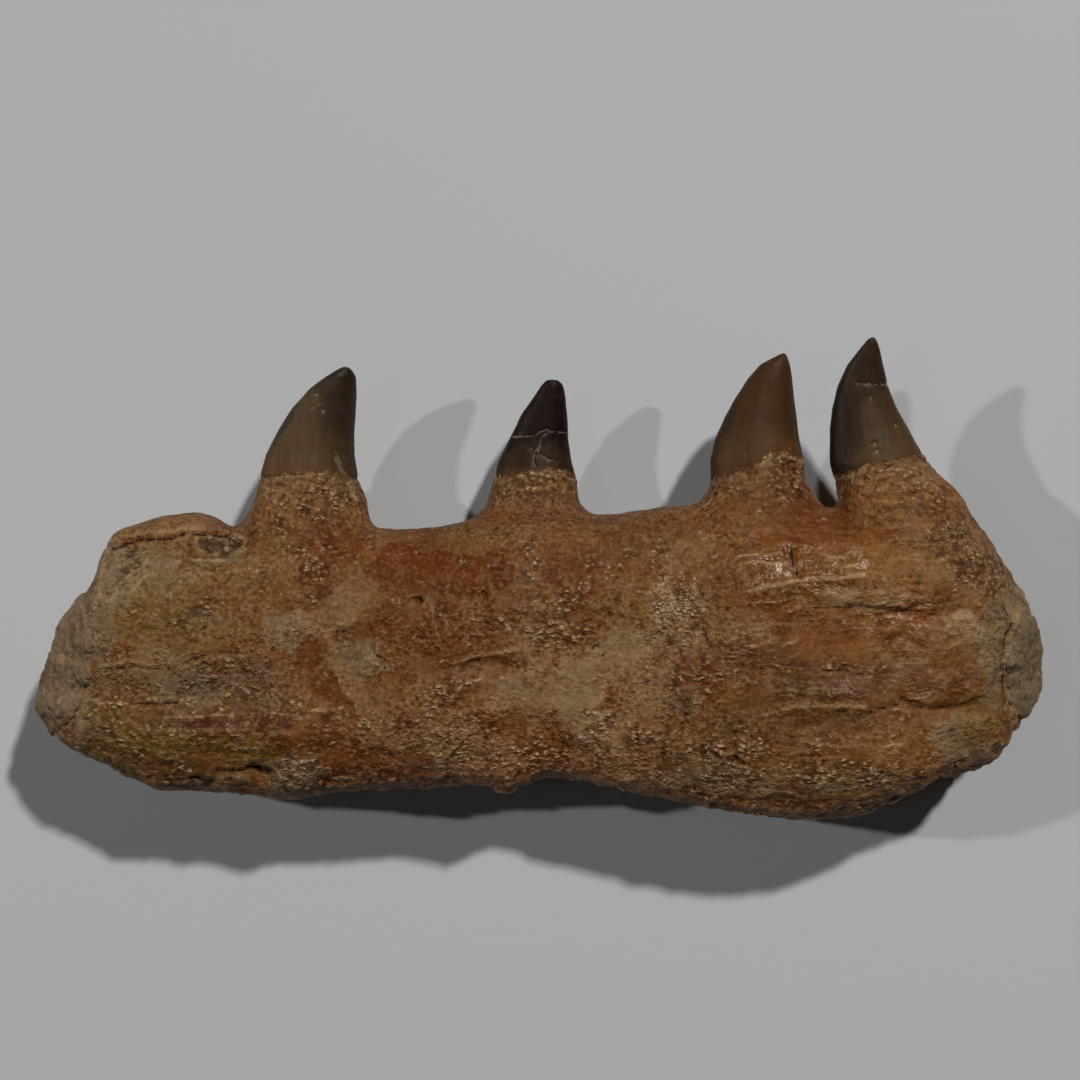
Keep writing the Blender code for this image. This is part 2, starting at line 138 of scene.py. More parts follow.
# Broad soft folds: path, half width, height (below 0 sinks).
FOLDS = [
    ([(-31.9, -28.4), (-25.9, -26.6), (-18.4, -25.8), (-10.9, -26.4), (-6.5, -27.6)], 1.6, -0.5),
    ([(108.7, -8.9), (115.6, -11.2)], 0.8, 0.5),
    ([(-64, -19), (-60, -30), (-54.5, -38), (-45, -46)], 2, 0.4),
]
# Openings for nerves and blood vessels: x, y, radius, depth; each gets a painted shadow and a
# painted highlight on its rim.
FORAMINA = [(-37, -7.3, 1.2, 1.1), (-17, -5.2, 0.9, 0.9), (-36.6, -18.7, 0.8, 0.8),
            (-78.5, 23.4, 1, 1.1), (84.4, -56, 1, 1.2)]
# Sunken or raised plates of the upper face: outline, height, width of the edge.
TROUGH = [(-134, -28), (-123, -27), (-111, -27.1), (-102, -24.7), (-93, -23), (-84, -26),
          (-75.5, -34), (-77, -40.6), (-89, -41.8), (-105, -41.5), (-114.5, -40.6),
          (-116, -38), (-123, -37.6), (-134, -37.3)]
SOCKET = [(-103, 12.6), (-95, 12.4), (-89, 11.8), (-90.5, 8.4), (-95, 5.9), (-100, 6.6),
          (-103.6, 9.1)]
UNDER_FLAP = [(-131, 7.3), (-126, 10), (-114, 11.2), (-104, 12.1), (-103.6, 8.5),
              (-101, 5), (-105.5, 3.1), (-117.5, 0.4), (-125, -4), (-130, -7), (-133, -4)]
BRICK_PLATE = [(-72.5, -19), (-64.6, -19), (-62.8, -25.6), (-59.8, -34), (-58.9, -38.5),
               (-67, -38.5), (-70.6, -34), (-73.6, -25)]
PLATES = [(TROUGH, -0.5, 3), (SOCKET, -2.6, 2), (UNDER_FLAP, -0.7, 1.2),
          (BRICK_PLATE, -0.4, 0.9)]
# Smooth, worn or filled places: x, y, half length, half width, turn, strength.
SMOOTH = [
    (23.5, -21, 7.4, 7.8, 0, 1), (12.5, -34, 8.5, 12, -12, 0.9),
    (-8, -35, 18, 3.6, -5, 0.8), (-58, -25, 8.5, 6, 0, 0.5),
    (-62, -6, 17, 9, 0, 0.6), (-34, 4, 24, 11, 0, 0.8),
    (7, 1, 18, 8, 0, 0.7), (-116, -10, 18, 13, 0, 0.5),
    (-51, -37, 4, 16, 35, 0.6), (100, -28, 30, 6, 0, 0.4),
    (28, 10, 26, 8, 0, 0.5), (74, 18, 22, 7, 0, 0.5),
]
# Places crusted with grains: x, y, half length, half width, turn, strength.
CRUSTS = [
    (-65, 23, 9, 7, 0, 0.9), (-77.5, 17, 3.2, 8.5, 0, 0.9),
    (-68, -1.5, 6, 7, 0, 0.8), (-68, 11, 6, 6, 0, 0.5),
    (-95.5, 9.3, 7, 3.2, 0, 1), (-122.5, 4.5, 4, 4, 0, 0.7),
    (-114, -35.5, 17, 5.5, 0, 0.6), (-112, -12, 17, 11, 0, 0.35),
    (-101, -12.3, 5, 2.2, 0, 0.8), (-117, -50, 20, 9, 0, 0.5),
    (-90, -49, 12, 6, 0, 0.5), (-73.5, -59.5, 9, 6, 0, 1),
    (-80, -38, 9, 6, 0, 0.6), (-29, -34.5, 11, 4.5, 15, 0.9),
    (-36, -46.5, 6.5, 9, 0, 0.8), (-54, -46, 16, 8, 0, 0.5),
    (-5.5, -54.5, 15, 7, 0, 0.8), (-22, -50, 14, 8, 0, 0.6),
    (17, -47.5, 7, 9.5, 0, 1), (2.5, -15, 12, 7.5, 0, 0.85),
    (-3.5, 2, 3.2, 10, 0, 0.9), (8.5, -6, 7, 8, 0, 0.7),
    (-21, -12, 12, 8, 0, 0.5), (-3, 27, 10, 4.5, 0, 0.9),
    (41, -12, 10, 10, 0, 1), (42, -30, 13, 12, 0, 0.65),
    (57, -53, 13, 10, 0, 0.85), (33, -54, 12, 9, 0, 0.6),
    (90, -58.5, 22, 6, 0, 0.8), (86.5, -27, 19, 2.5, 0, 0.55),
    (128.5, 5, 18, 7, -38, 0.9), (111, 26, 13, 7, -40, 0.6),
    (60, 28.5, 9, 4.5, 0, 0.4), (73, 30, 6, 9, 0, 0.9),
    (98, 31, 10, 3, 8, 0.7), (58, -60, 12, 4, 0, 0.9),
    (100, -49, 24, 7, 0, 0.4), (30, 2, 18, 8, 0, 0.4),
    (-92, -33, 16, 6, 0, 0.5), (-20, -57, 16, 5, 0, 0.8),
    (-131, -41, 7, 7, 0, 0.8),
]
# Places with more varnish left on them, which glint: as above.
VARNISH = [
    (41, -7, 10, 11, 0, 0.7), (80, 2, 22, 9, 0, 0.65),
    (-11, -38, 9, 4, 20, 0.4), (96, -34, 26, 4, 0, 0.4),
    (-2.5, -6, 6, 15, 0, 0.3), (17, -46, 6.5, 13, 0, 0.4),
    (-72, -57, 7, 6, 0, 0.4), (60, -22, 14, 8, 0, 0.4),
    (-30, -48, 20, 12, 0, 0.4), (108, -13, 12, 8, 0, 0.5),
]
# Stains on the bone: x, y, half length, half width, turn, colour, strength.
STAINS = [
    (-112, -13, 20, 13, 0, "ochre", 1),
    (-96, 0, 12, 10, 0, "ochre", 0.8),
    (-98, -6, 8, 5, 0, "rust", 0.4),
    (-118, -48, 20, 9.5, 0, "olive", 1),
    (-90, -46.5, 14, 3, 0, "rust", 0.5),
    (-90, -52, 17, 4, 0, "olive", 0.8),
    (-117, -56, 4, 3, 0, "brick", 0.5),
    (-112, -43, 14, 5, 0, "umber", 0.6),
    (-126, 1, 5.5, 11, -12, "grey", 0.9),
    (-112, 0.5, 12, 6, 12, "grey", 0.4),
    (-132, -16, 5, 12, 0, "grey", 0.7),
    (-118, 6, 11, 5, 3, "grey", 0.8),
    (-110, 9, 9, 3.6, 3, "ochre", 0.6),
    (-112.2, -22.6, 6, 4, 0, "grey", 0.7),
    (-118, -25, 10, 6, 0, "beige", 0.5),
    (-101, -12.3, 5, 2, 0, "grey", 0.6),
    (-113, 15, 18, 3, 4, "tan", 0.6),
    (-94.5, 14.8, 4, 3, 0, "rust", 0.6),
    (-104, -19, 15, 4, 12, "ochre", 0.9),
    (-88, 3, 9, 7, 0, "tan", 0.3),
    (-96.5, 4.6, 8, 1.6, 8, "grey", 0.8),
    (-90, -43, 22, 4, 0, "brick", 0.9),
    # The dirt stain along the trough's lower wall is painted shade on a slope that the lamps
    # light.
    (-93, -43, 24, 4, 0, "dirt_and_shade", 0.4),
    (-60, 13, 11, 4, 0, "umber", 0.6),
    (-89, 13, 5, 4, 0, "umber", 0.6),
    (-91, -33, 12, 4.5, 0, "tan", 0.9),
    (-91, -33, 12, 4.5, 0, "grains", 0.1),
    (-133, -44, 7, 6, 0, "olive", 0.8),
    (-135, -45, 5, 5, 0, "grey", 0.4),
    (-78, 12, 9, 5, 0, "umber", 0.5),
    (-79, 6, 8, 9, 0, "ochre", 0.6),
    (-68, 4, 6, 14, -8, "rust", 0.7),
    (-72, 24, 16, 5, 0, "tan", 0.7),
    (-59.5, 9, 8, 5, 20, "brick", 0.8),
    (-52, -1, 19, 4.6, 48, "tan", 0.7),
    (-62, -11.5, 13, 6, 20, "tan", 0.9),
    (-76, -17, 8, 6, -20, "grey", 0.7),
    (-88, -31, 13, 8, 10, "mauve", 0.5),
    (-104, -34, 12, 6, 0, "grey", 0.8),
    (-77, -34, 7, 7, 0, "tan", 0.5),
    (-66.5, -28.5, 5.5, 10.5, 18, "brick", 1),
    (-55.5, -24.5, 9, 6, -10, "grey", 0.7),
    (-56, -33.5, 3, 14, 35, "tan", 0.9),
    (-48, -46, 5, 6, 30, "tan", 0.6),
    (-66, -52, 16, 6, 0, "rust", 0.6),
    (-29.5, 3, 23, 10.5, 0, "rust", 1),
    (-28, 13, 20, 4, 0, "umber", 0.6),
    (-23, 10, 10, 4, 0, "ochre", 0.5),
    (-20, -13, 12, 7, 0, "rust", 0.3),
    (-44, -14, 13, 5.5, 0, "brick", 0.6),
    (-30, -20, 15, 5, 0, "rust", 0.7),
    (-19.5, -29.5, 9.5, 4, 5, "mauve", 0.7),
    (9, 1, 11, 9, 0, "rust", 0.8),
    (-3.5, -4, 4.5, 15, 0, "tan", 0.2),
    (-2, 27, 13, 4, 0, "ochre", 0.6),
    (-2, 26, 14, 5, 0, "umber", 0.6),
    (-1, 21, 14, 5, 0, "mauve", 0.7),
    (1, -33, 18, 7, -3, "tan", 0.9),
    (-8, -33, 8, 2.4, 0, "grey", 0.6),
    (34, -27, 8, 8, 0, "beige", 0.6),
    (1, -23, 9, 5, 0, "tan", 0.6),
    (24, -20.5, 7.4, 7.4, 0, "beige", 1),
    (12, -35, 8, 14, -10, "beige", 0.9),
    (16, -47.5, 7.5, 10, 0, "beige", 0.9),
    (18, -48, 8, 9, 0, "grains", 0.25),
    (-9, -50, 24, 7, 0, "orange", 0.5),
    (-22, -57, 16, 5, 0, "orange", 0.8),
    (4, -58, 14, 4, 0, "orange", 0.7),
    (-16, -57, 36, 7, 0, "orange", 0.6),
    (-26, -52, 24, 8, 0, "orange", 0.8),
    (-30, -53, 24, 8, 0, "grains", 0.3),
    (20, -59, 34, 5, 0, "grains", 0.14),
    (-66, -58, 9, 5, 0, "orange", 0.6),
    (-40, -52, 14, 5, 0, "tan", 0.5),
    (-32, -47, 7, 6, 0, "tan", 0.6),
    (-48, -56, 18, 5, 0, "rust", 0.7),
    (36, -60, 14, 4, 0, "amber", 0.7),
    (62, -61, 40, 4, 0, "beige", 0.7),
    (62, -61, 14, 4, 0, "grains", 0.25),
    (91, -61, 9, 4, 0, "grains", 0.5),
    (34, -8, 16, 8, 0, "ochre", 0.4),
    (39, -17, 9.5, 11, 0, "beige", 1),
    (38, -17, 10, 12, 0, "grains", 0.3),
    (54.5, -15, 6, 3.6, 0, "olive", 0.6),
    (29, 12, 15, 7, 0, "umber", 0.6),
    (42, -28, 13, 8, 0, "brick", 0.6),
    (64, -24, 14, 7, 0, "mauve", 0.6),
    (58, -38, 8, 5, 0, "amber", 0.5),
    (43, -38, 6, 6, 0, "grey", 0.5),
    (45, -48, 13, 7, 0, "umber", 0.6),
    (56, -2, 14, 6, 0, "rust", 0.3),
    (44, 5, 11, 6, 0, "tan", 0.6),
    (66, -11, 12, 5, 0, "orange", 0.7),
    (98, -18, 18, 8, 0, "amber", 0.6),
    (96, -6, 9, 5, 0, "beige", 0.6),
    (97, -6, 18, 4, 0, "grains", 0.12),
    (1, -16, 10, 6, 0, "tan", 0.4),
    (1, -29, 9, 20, 0, "grains", 0.12),
    (110, -24, 8, 4, 0, "beige", 0.8),
    (127, 12, 6, 4, -40, "beige", 0.6),
    (127, -53, 8, 4, 20, "tan", 0.7),
    (58, -14, 13, 4.5, 0, "tan", 0.7),
    (131, -10, 7, 9, 0, "amber", 0.5),
    (30, -35, 10, 10, 0, "beige", 0.6),
    (35, -50, 12, 6, 0, "tan", 0.5),
    (87, 14, 24, 8, 0, "orange", 1),
    (85, 17, 15, 4, 0, "brick", 0.5),
    (104, 3, 20, 9, 0, "amber", 0.8),
    (104, 27, 14, 7, 10, "amber", 0.6),
    (102, 18.5, 10, 4, 0, "ochre", 0.6),
    (113, -16, 14, 7.5, 0, "orange", 0.9),
    (88, -17, 14, 5, 0, "orange", 0.5),
    (86, -31.5, 21, 6.5, 3, "mauve", 1),
    (74, -34, 12, 6, 0, "umber", 0.9),
    (73, -33, 7, 4, 0, "dirt_and_shade", 0.2),
    (90, 13, 7, 4, 0, "umber", 0.4),
    (122, -30, 16, 5, 0, "mauve", 0.6),
    (121, -20, 16, 5, 0, "tan", 0.5),
    (130, -20, 6, 6, 0, "tan", 0.7),
    (104, -48, 16, 6, 0, "ochre", 0.6),
    (101, -46, 14, 7, 0, "rust", 0.45),
    (102, -35, 22, 5, 0, "umber", 0.3),
    (72, -42, 24, 8, 0, "umber", 1),
    (112, -52, 18, 8, 0, "amber", 0.6),
    (127, -48, 10, 7, 15, "grey", 0.7),
    (72, -59, 34, 6, -4, "olive", 0.5),
    (50, -59, 12, 5, -4, "grey", 0.5),
    (95, -62, 14, 4, 4, "grey", 0.5),
    (76, -63.5, 6, 4, 0, "mauve", 0.9),
    (125, 4, 19, 8, -38, "tan", 0.8),
    (138.5, -1, 2.6, 1.6, 0, "beige", 0.9),
    (127, -15, 6, 4.5, 0, "beige", 1),
    (127, -15, 6, 4.5, 0, "grains", 0.2),
    (132, -43, 7, 7, 0, "olive", 0.7),
    (64, 30, 13, 4, 8, "tan", 0.8),
    (72, 22, 11, 6, 0, "umber", 0.5),
    (76, 27, 6, 9, 0, "brick", 1),
    (66, 26, 11, 6, 0, "umber", 0.45),
    (108, 30.5, 10, 5, 0, "tan", 0.6),
    (-104, -60, 22, 5, 0, "umber", 0.6),
    (-74, -58.5, 9, 6, 0, "grey", 0.8),
    (136, -24, 5, 18, 0, "grey", 0.7),
    (143, -22, 6, 22, 0, "grey", 0.8),
    (-138, -14, 5, 26, 0, "grey", 0.6),
    (-131, 2, 4, 13, -14, "grey", 0.8),
    (-139, -42, 5, 6, 0, "grey", 0.6),
]
# Faint patches all over the bone: colour, size, seed, strength.
MOTTLES = [("umber", 11, 21, 0.35), ("rust", 8, 34, 0.35), ("tan", 6, 47, 0.3),
           ("grey", 9, 58, 0.2), ("amber", 4.5, 63, 0.15), ("umber", 3, 72, 0.25)]

# Crowns: material slot, main colour, how far the tip leans off its solid, lower
# edge of the enamel, then stains, cracks and pale flecks on it. Dark enamel along a crown's
# sides and edges is painted shade.
CROWNS = {
    "tooth_1": {
        "slot": "enamel_olive", "main": "olive_enamel", "lean": (0, 0),
        "edge": [(-84, 28.2), (-77, 29.2), (-72.5, 30), (-65, 30.2), (-61, 29.6),
                 (-58.7, 28.8), (-54, 27.8)],
        "stains": [(-58.5, 50, 9, 24, -3, "dark_and_shaded_enamel", 0.3),
                   (-57.5, 48, 7, 26, -3, "dark_and_shaded_enamel", 0.35),
                   (-56, 45, 5, 28, -3, "dark_and_shaded_enamel", 0.45),
                   (-61, 61, 12, 9, 30, "dark_and_shaded_enamel", 0.45),
                   (-58, 64, 8, 5, 30, "dark_and_shaded_enamel", 0.7),
                   (-78, 45, 2.4, 14, -32, "dark_and_shaded_enamel", 0.5),
                   (-70, 40, 11, 2.2, -4, "umber_enamel", 0.3),
                   (-70, 36, 15, 8, 0, "umber_enamel", 0.25),
                   (-70, 34, 15, 5, 0, "umber_enamel", 0.3),
                   (-75, 31, 11, 3.2, 3, "brick", 0.3),
                   (-68, 31, 16, 2.4, 0, "umber_enamel", 0.4)],
        "cracks": [[(-61.6, 37.4), (-60, 33.5), (-58.3, 30), (-56.8, 26)],
                   [(-61.9, 36), (-60.5, 32.8), (-58.9, 29.6)]],
        "flecks": [(-67, 54.4, 0.5), (-67.9, 50.7, 0.4), (-65.1, 49.4, 0.6),
                   (-66, 51.6, 0.3)],
    },
    "tooth_2": {
        "slot": "enamel_black", "main": "black_enamel", "lean": (0.6, 0),
        "edge": [(-14.3, 29.6), (-11, 29.2), (-6.5, 30.2), (-2, 30.6), (2.6, 31),
                 (7, 30.8), (9.5, 29.6), (12.3, 28.2)],
        "stains": [(-3, 35, 13, 5, 0, "red_enamel", 0.45),
                   (-2, 31.4, 13, 1.4, 0, "umber_enamel", 0.25)],
        "cracks": [[(-8.9, 42.2), (-3.4, 41.9), (1.1, 44), (7.7, 43.1)],
                   [(1, 43), (-0.5, 40.6), (-0.8, 37.3), (1.9, 34.9), (4.6, 34.4)],
                   [(-1, 38.6), (-2.6, 36.4), (-2.2, 33.4)]],
        "flecks": [(-3.2, 38.4, 0.5), (-1.4, 36.4, 0.3)],
    },
    "tooth_3": {
        "slot": "enamel_red", "main": "red_enamel", "lean": (0, 0),
        "edge": [(50.3, 27.8), (53.6, 28.6), (56, 29.6), (59.6, 30.6), (63.2, 31.6),
                 (65, 33.4), (67, 35.4), (71.6, 35.8), (79, 34.4)],
        "stains": [(77.4, 50, 2.4, 18, 5, "dark_and_shaded_enamel", 0.7),
                   (53.5, 42, 2.4, 10, -22, "dark_and_shaded_enamel", 0.4),
                   (63, 35.6, 16, 10, 14, "umber_enamel", 0.25),
                   (63, 34.6, 14, 6, 14, "umber_enamel", 0.35),
                   (72, 38.5, 6, 3, 0, "brick", 0.25)],
        "cracks": [],
        "flecks": [(60, 37, 0.3), (73.6, 38.4, 0.4)],
    },
    "tooth_4": {
        "slot": "enamel_brown", "main": "brown_enamel", "lean": (-1.4, -1.1),
        "edge": [(86, 29.4), (89.6, 29.6), (92.6, 30.8), (96.2, 32.4), (101.6, 33.6),
                 (107.6, 34), (111.2, 35), (116, 36.4)],
        "stains": [(89, 44, 6, 24, -5, "dark_and_shaded_enamel", 0.55),
                   (87.5, 42, 4, 22, -5, "black_enamel", 0.7),
                   (98.4, 64, 10, 9, 0, "dark_and_shaded_enamel", 0.7),
                   (108.6, 41, 5, 7, 25, "umber_enamel", 0.4),
                   (102, 36.4, 11, 4.4, 8, "umber_enamel", 0.45)],
        "cracks": [[(93.5, 58.2), (97.4, 57.4), (101.6, 58), (104.3, 58.3)],
                   [(104.3, 58.1), (106.1, 53), (108, 48.4)]],
        "flecks": [(97.9, 53.5, 0.5), (98.2, 39.8, 0.6), (98.8, 37.2, 0.6), (105.4, 45.5, 0.6),
                   (105.8, 43.6, 0.4), (94.2, 58, 0.4), (97.6, 57.6, 0.5), (101.8, 58.1, 0.6),
                   (103.4, 58.2, 0.5)],
    },
}
ROCKS = {"matrix_front_end": "front_rock", "matrix_rear_end": "rear_rock"}

ROOT_DEPTH = 8.0       # how far a tooth's node reaches below its crown
ROOT_MARGIN = 0.5      # how far above the root's top its swelling starts
ROOT_SWELL = 1.05      # scale of the filling's root, so that it bonds with its pocket
FILLING_RISE = 5.0     # how far the filling goes on inside the enamel
COLLAR_TUCK = 0.25     # how far the bone draws in towards the enamel's edge
COLLAR_SLOPE = 0.5     # how steeply it dips under the enamel
COLLAR_SINK = 2.4      # how deep it then lies
COLLAR_REACH = 3.0     # how far past a tooth, along the jaw, its collar goes
BROKEN_END = 131.0     # where the bone's broken ends start, to either side
ROCK_FACE = 143.0      # where the rocks' open faces start, to either side
ROCK_PROUD = 1.2       # how far these faces may stand out
WELD = 0.001           # points closer than this become one
FAR = 9.0              # the distance noted where the bone has no crack or seam near
CLEAR = 3.0            # the distance noted where the enamel has no crack or fleck near
HOLLOW_REACH = 4       # how many neighbours away a hollow is looked for
SMOOTHING = {"bone": 6, "tooth": 14, "rock": 3}

# In the studio light a surface shows its own colour divided by the gain, and a
# colourless sheen on top. The darkest colours keep the least share.
STUDIO_GAIN = 1.58
SHEEN = 0.010
LEAST_SHARE = 0.15

FLOOR_SIZE = 8.0       # in metres, as the lamps' distances and sizes are
# Lamps: name, direction from the jaw, distance, size, power.
LAMPS = [("key_light", (12, 18, 26), 12.0, 0.6, 930),
         ("side_light", (-37.5, 8.4, 30), 12.0, 0.35, 365),
         ("top_light", (-14, 0, 30), 6.0, 0.8, 6)]
SKY_COLOUR = (0.95, 0.98, 1.0, 1)
SKY_STRENGTH = 0.011


def tint(colour):
    """The base colour that shows as the given 0 to 255 display values."""
    result = []
    for value in colour:
        share = value / 255
        plain = share / 12.92 if share <= 0.04045 else ((share + 0.055) / 1.055) ** 2.4
        result.append(max(plain - SHEEN, LEAST_SHARE * plain) * STUDIO_GAIN)
    return tuple(result)


def colour_property(name, description, colour):
    """A colour setting, given as the display values it shows in the studio."""
    return bpy.props.FloatVectorProperty(name=name, description=description, subtype="COLOR",
                                         size=3, min=0.0, max=1.0, default=tint(colour))


def length_property(name, description, length, least):
    return bpy.props.FloatProperty(name=name, description=description, default=length * MM,
                                   min=least * MM, subtype="DISTANCE", unit="LENGTH")


class FOSSIL_jaw_look(bpy.types.PropertyGroup):
    """Sizes and colours a user may change."""

    bone_detail: length_property("Bone detail", "Finest form kept on the bone", 1.0, 0.5)
    tooth_detail: length_property("Tooth detail", "Finest form kept on the teeth", 0.45, 0.3)
    rock_detail: length_property("Rock detail", "Finest form kept on the rock", 0.6, 0.4)
    lump_height: length_property("Lump height", "Height of the lumps on the bone", 0.45, 0.0)
    fibre_height: length_property("Fibre height", "Height of the long fibres", 0.32, 0.0)
    grain_height: length_property("Grain height", "Height of the crusted grains", 0.45, 0.0)
    bone: colour_property("Bone", "Main colour of the bone", (102, 66, 38))
    ochre: colour_property("Ochre", "Yellow earth stains", (103, 78, 45))
    olive: colour_property("Olive", "Greenish stains near the ends", (95, 72, 38))
    umber: colour_property("Umber", "Dark brown stains", (86, 59, 36))
    rust: colour_property("Rust", "Deep orange stains", (87, 48, 26))
    brick: colour_property("Brick", "Dull red stains", (90, 52, 31))
    orange: colour_property("Orange", "Bright stains near the rear teeth", (102, 60, 31))
    amber: colour_property("Amber", "Yellow orange stains", (117, 80, 45))
    tan: colour_property("Tan", "Pale brown patches", (111, 83, 55))
    beige: colour_property("Beige", "Pale filled patches", (121, 97, 70))
    grey: colour_property("Grey", "Grey film of rock on the bone", (108, 92, 70))
    mauve: colour_property("Mauve", "Purplish brown stains", (93, 64, 46))
    grains: colour_property("Grains", "Pale grains stuck to the bone", (170, 139, 104))
    # Besides dirt in a few stains, this colour is painted shade in the hollows of bone and rock
    # and among crusted grains.
    dirt_and_shade: colour_property("Dirt", "Dark dirt in cracks and hollows", (40, 26, 15))
    foot: colour_property("Foot", "Sandy foot of the teeth", (87, 62, 39))
    olive_enamel: colour_property("Olive enamel", "Enamel of tooth 1", (74, 60, 46))
    black_enamel: colour_property("Black enamel", "Enamel of tooth 2", (33, 26, 20))
    red_enamel: colour_property("Red enamel", "Enamel of tooth 3", (62, 43, 31))
    umber_enamel: colour_property("Umber enamel", "Brown foot of the enamel", (80, 59, 38))
    brown_enamel: colour_property("Brown enamel", "Enamel of tooth 4", (62, 48, 35))
    # Besides the darker tips and streaks, this colour is painted shade on the crowns' sides and
    # edges.
    dark_and_shaded_enamel: colour_property("Dark enamel", "Darker tips and edges", (42, 37, 33))
    flaw: colour_property("Flaw", "Pale filling of cracks in the enamel", (130, 117, 98))
    front_rock: colour_property("Front rock", "Rock at the front end", (106, 88, 68))
    rear_rock: colour_property("Rear rock", "Rock at the rear end", (98, 84, 66))
    floor: colour_property("Floor", "The table under the jaw", (163, 164, 164))


def rgba(look, name):
    return (*getattr(look, name), 1.0)


# ---- Modelling helpers -------------------------------------------------------

def select_only(item):
    bpy.ops.object.select_all(action="DESELECT")
    item.hide_set(False)
    item.select_set(True)
    bpy.context.view_layer.objects.active = item


def copy_of(node, name):
    """A welded copy of a frame node's mesh, as an object of its own."""
    item = bpy.data.objects.new(name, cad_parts[node].data.copy())
    bpy.context.scene.collection.objects.link(item)
    item.data.materials.clear()
    select_only(item)
    bpy.ops.object.mode_set(mode="EDIT")
    bpy.ops.mesh.select_all(action="SELECT")
    bpy.ops.mesh.remove_doubles(threshold=WELD * MM)
    bpy.ops.object.mode_set(mode="OBJECT")
    return item


def apply_modifier(item, kind, **settings):
    """Add a modifier with the given settings and apply it."""
    select_only(item)
    modifier = item.modifiers.new(kind.title(), kind)
    for name, value in settings.items():
        setattr(modifier, name, value)
    bpy.ops.object.modifier_apply(modifier=modifier.name)


def even_skin(item, detail, passes):
    """Remake a mesh as an even skin and soften it."""
    apply_modifier(item, "REMESH", mode="VOXEL", voxel_size=detail)
    apply_modifier(item, "SMOOTH", factor=0.5, iterations=passes)


def finish_piece(item, node, material):
    """Give a piece its material, and let it stand for a frame node."""
    item.data.materials.append(material)
    select_only(item)
    bpy.ops.object.shade_smooth()
    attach(item, BODY)
    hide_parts(node)


def places_of(mesh):
    """The mesh's points in millimetres and its normals, one row each."""
    places = np.empty(len(mesh.vertices) * 3)
    mesh.vertices.foreach_get("co", places)
    normals = np.empty(len(mesh.vertices) * 3)
    mesh.vertices.foreach_get("normal", normals)
    return places.reshape(-1, 3) / MM, normals.reshape(-1, 3)


def set_places(mesh, points):
    mesh.vertices.foreach_set("co", (points * MM).ravel())
    mesh.update()


def add_attribute(mesh, name, values):
    attribute = mesh.attributes.new(name, "FLOAT", "POINT")
    attribute.data.foreach_set("value", np.asarray(values, dtype=np.float32))


def add_colour(mesh, name, colours):
    attribute = mesh.attributes.new(name, "FLOAT_COLOR", "POINT")
    solid = np.column_stack([colours, np.ones(len(colours))])
    attribute.data.foreach_set("color", solid.astype(np.float32).ravel())


def grain(points, size, stretch=1.0, octaves=1, shift=0.0):
    """Smooth random values, about -1 to 1; stretch lengthens their pattern along X."""
    scaled = points / (size * stretch, size, size) + shift
    if octaves == 1:
        return np.array([noise.noise(point) for point in scaled])
    return np.array([noise.fractal(point, 1.0, 2.0, octaves) for point in scaled])


def knobs(points, size, shift=0.0):
    """Round knobs of scattered size, 0 between them to about 1 on top."""
    scaled = points / size + shift
    away = np.array([noise.voronoi(point)[0][0] for point in scaled])
    return np.clip(0.55 - away, 0, 1) * 2.2


def spot_distance(points, x, y):
    """How far each point is from a spot, seen from above."""
    return np.hypot(points[:, 0] - x, points[:, 1] - y)


def path_distance(points, path):
    """How far each point is from a path, seen from above."""
    best = np.full(len(points), 1e9)
    flat = points[:, :2]
    for start, end in zip(np.array(path[:-1], float), np.array(path[1:], float)):
        run = end - start
        share = np.clip((flat - start) @ run / (run @ run), 0, 1)
        gap = np.linalg.norm(flat - start - share[:, None] * run, axis=1)
        best = np.minimum(best, gap)
    return best


def inside(points, outline):
    """Which points lie inside an outline, seen from above."""
    x, y = points[:, 0], points[:, 1]
    within = np.zeros(len(points), bool)
    for (x0, y0), (x1, y1) in zip(outline, outline[1:] + outline[:1]):
        if y0 != y1:
            crosses = (y0 > y) != (y1 > y)
            within ^= crosses & (x < (x1 - x0) * (y - y0) / (y1 - y0) + x0)
    return within


def as_drawn(points):
    """Points moved to where the tables place them, as the eye sees them."""
    spread = (EYE[2] - DRAWN_HEIGHT) / (EYE[2] - points[:, 2])
    drawn = points.copy()
    for axis in (0, 1):
        drawn[:, axis] = EYE[axis] + (points[:, axis] - EYE[axis]) * spread
    return drawn


def depth_inside(points, outline):
    """How far inside an outline each point lies, below 0 outside."""
    gap = path_distance(points, outline + outline[:1])
    return np.where(inside(points, outline), gap, -gap)


def soft_step(values):
    """0 below 0, 1 above 1, and a smooth rise between them."""
    values = np.clip(values, 0, 1)
    return values * values * (3 - 2 * values)


def fading(distances, width):
    """1 where a distance is 0, fading to nothing past the width."""
    return np.exp(-(distances / width) ** 2)


def oval_reach(points, x, y, length, width, turn):
    """How far out in a turned oval each point lies: 0 in its middle, 1 on its edge."""
    cosine, sine = math.cos(math.radians(turn)), math.sin(math.radians(turn))
    dx, dy = points[:, 0] - x, points[:, 1] - y
    return np.hypot((dx * cosine + dy * sine) / length, (dy * cosine - dx * sine) / width)


def oval_share(points, ovals):
    """The strongest of several soft, turned ovals at each point."""
    best = np.zeros(len(points))
    for *oval, strength in ovals:
        best = np.maximum(best, strength * soft_step(2.2 * (1.15 - oval_reach(points, *oval))))
    return best


def blended(colours, look, name, share):
    """Colours with a named one laid over them."""
    return colours + (np.array(getattr(look, name)) - colours) * share[:, None]


def painted(points, look, ground, mottles, stains, ragged):
    """A colour for each point: the ground with patches and stains laid over it."""
    colours = ground
    for name, size, seed, strength in mottles:
        share = soft_step(grain(points, size, octaves=3, shift=seed) * 2.2 - 0.1) * strength
        colours = blended(colours, look, name, share)
    waver = grain(points, 5, octaves=3, shift=11) * 0.3 + grain(points, 1.6, shift=13) * 0.15
    for *oval, name, strength in stains:
        reach = oval_reach(points, *oval) + ragged * waver
        colours = blended(colours, look, name, strength * soft_step(3 * (1.12 - reach)))
    return colours


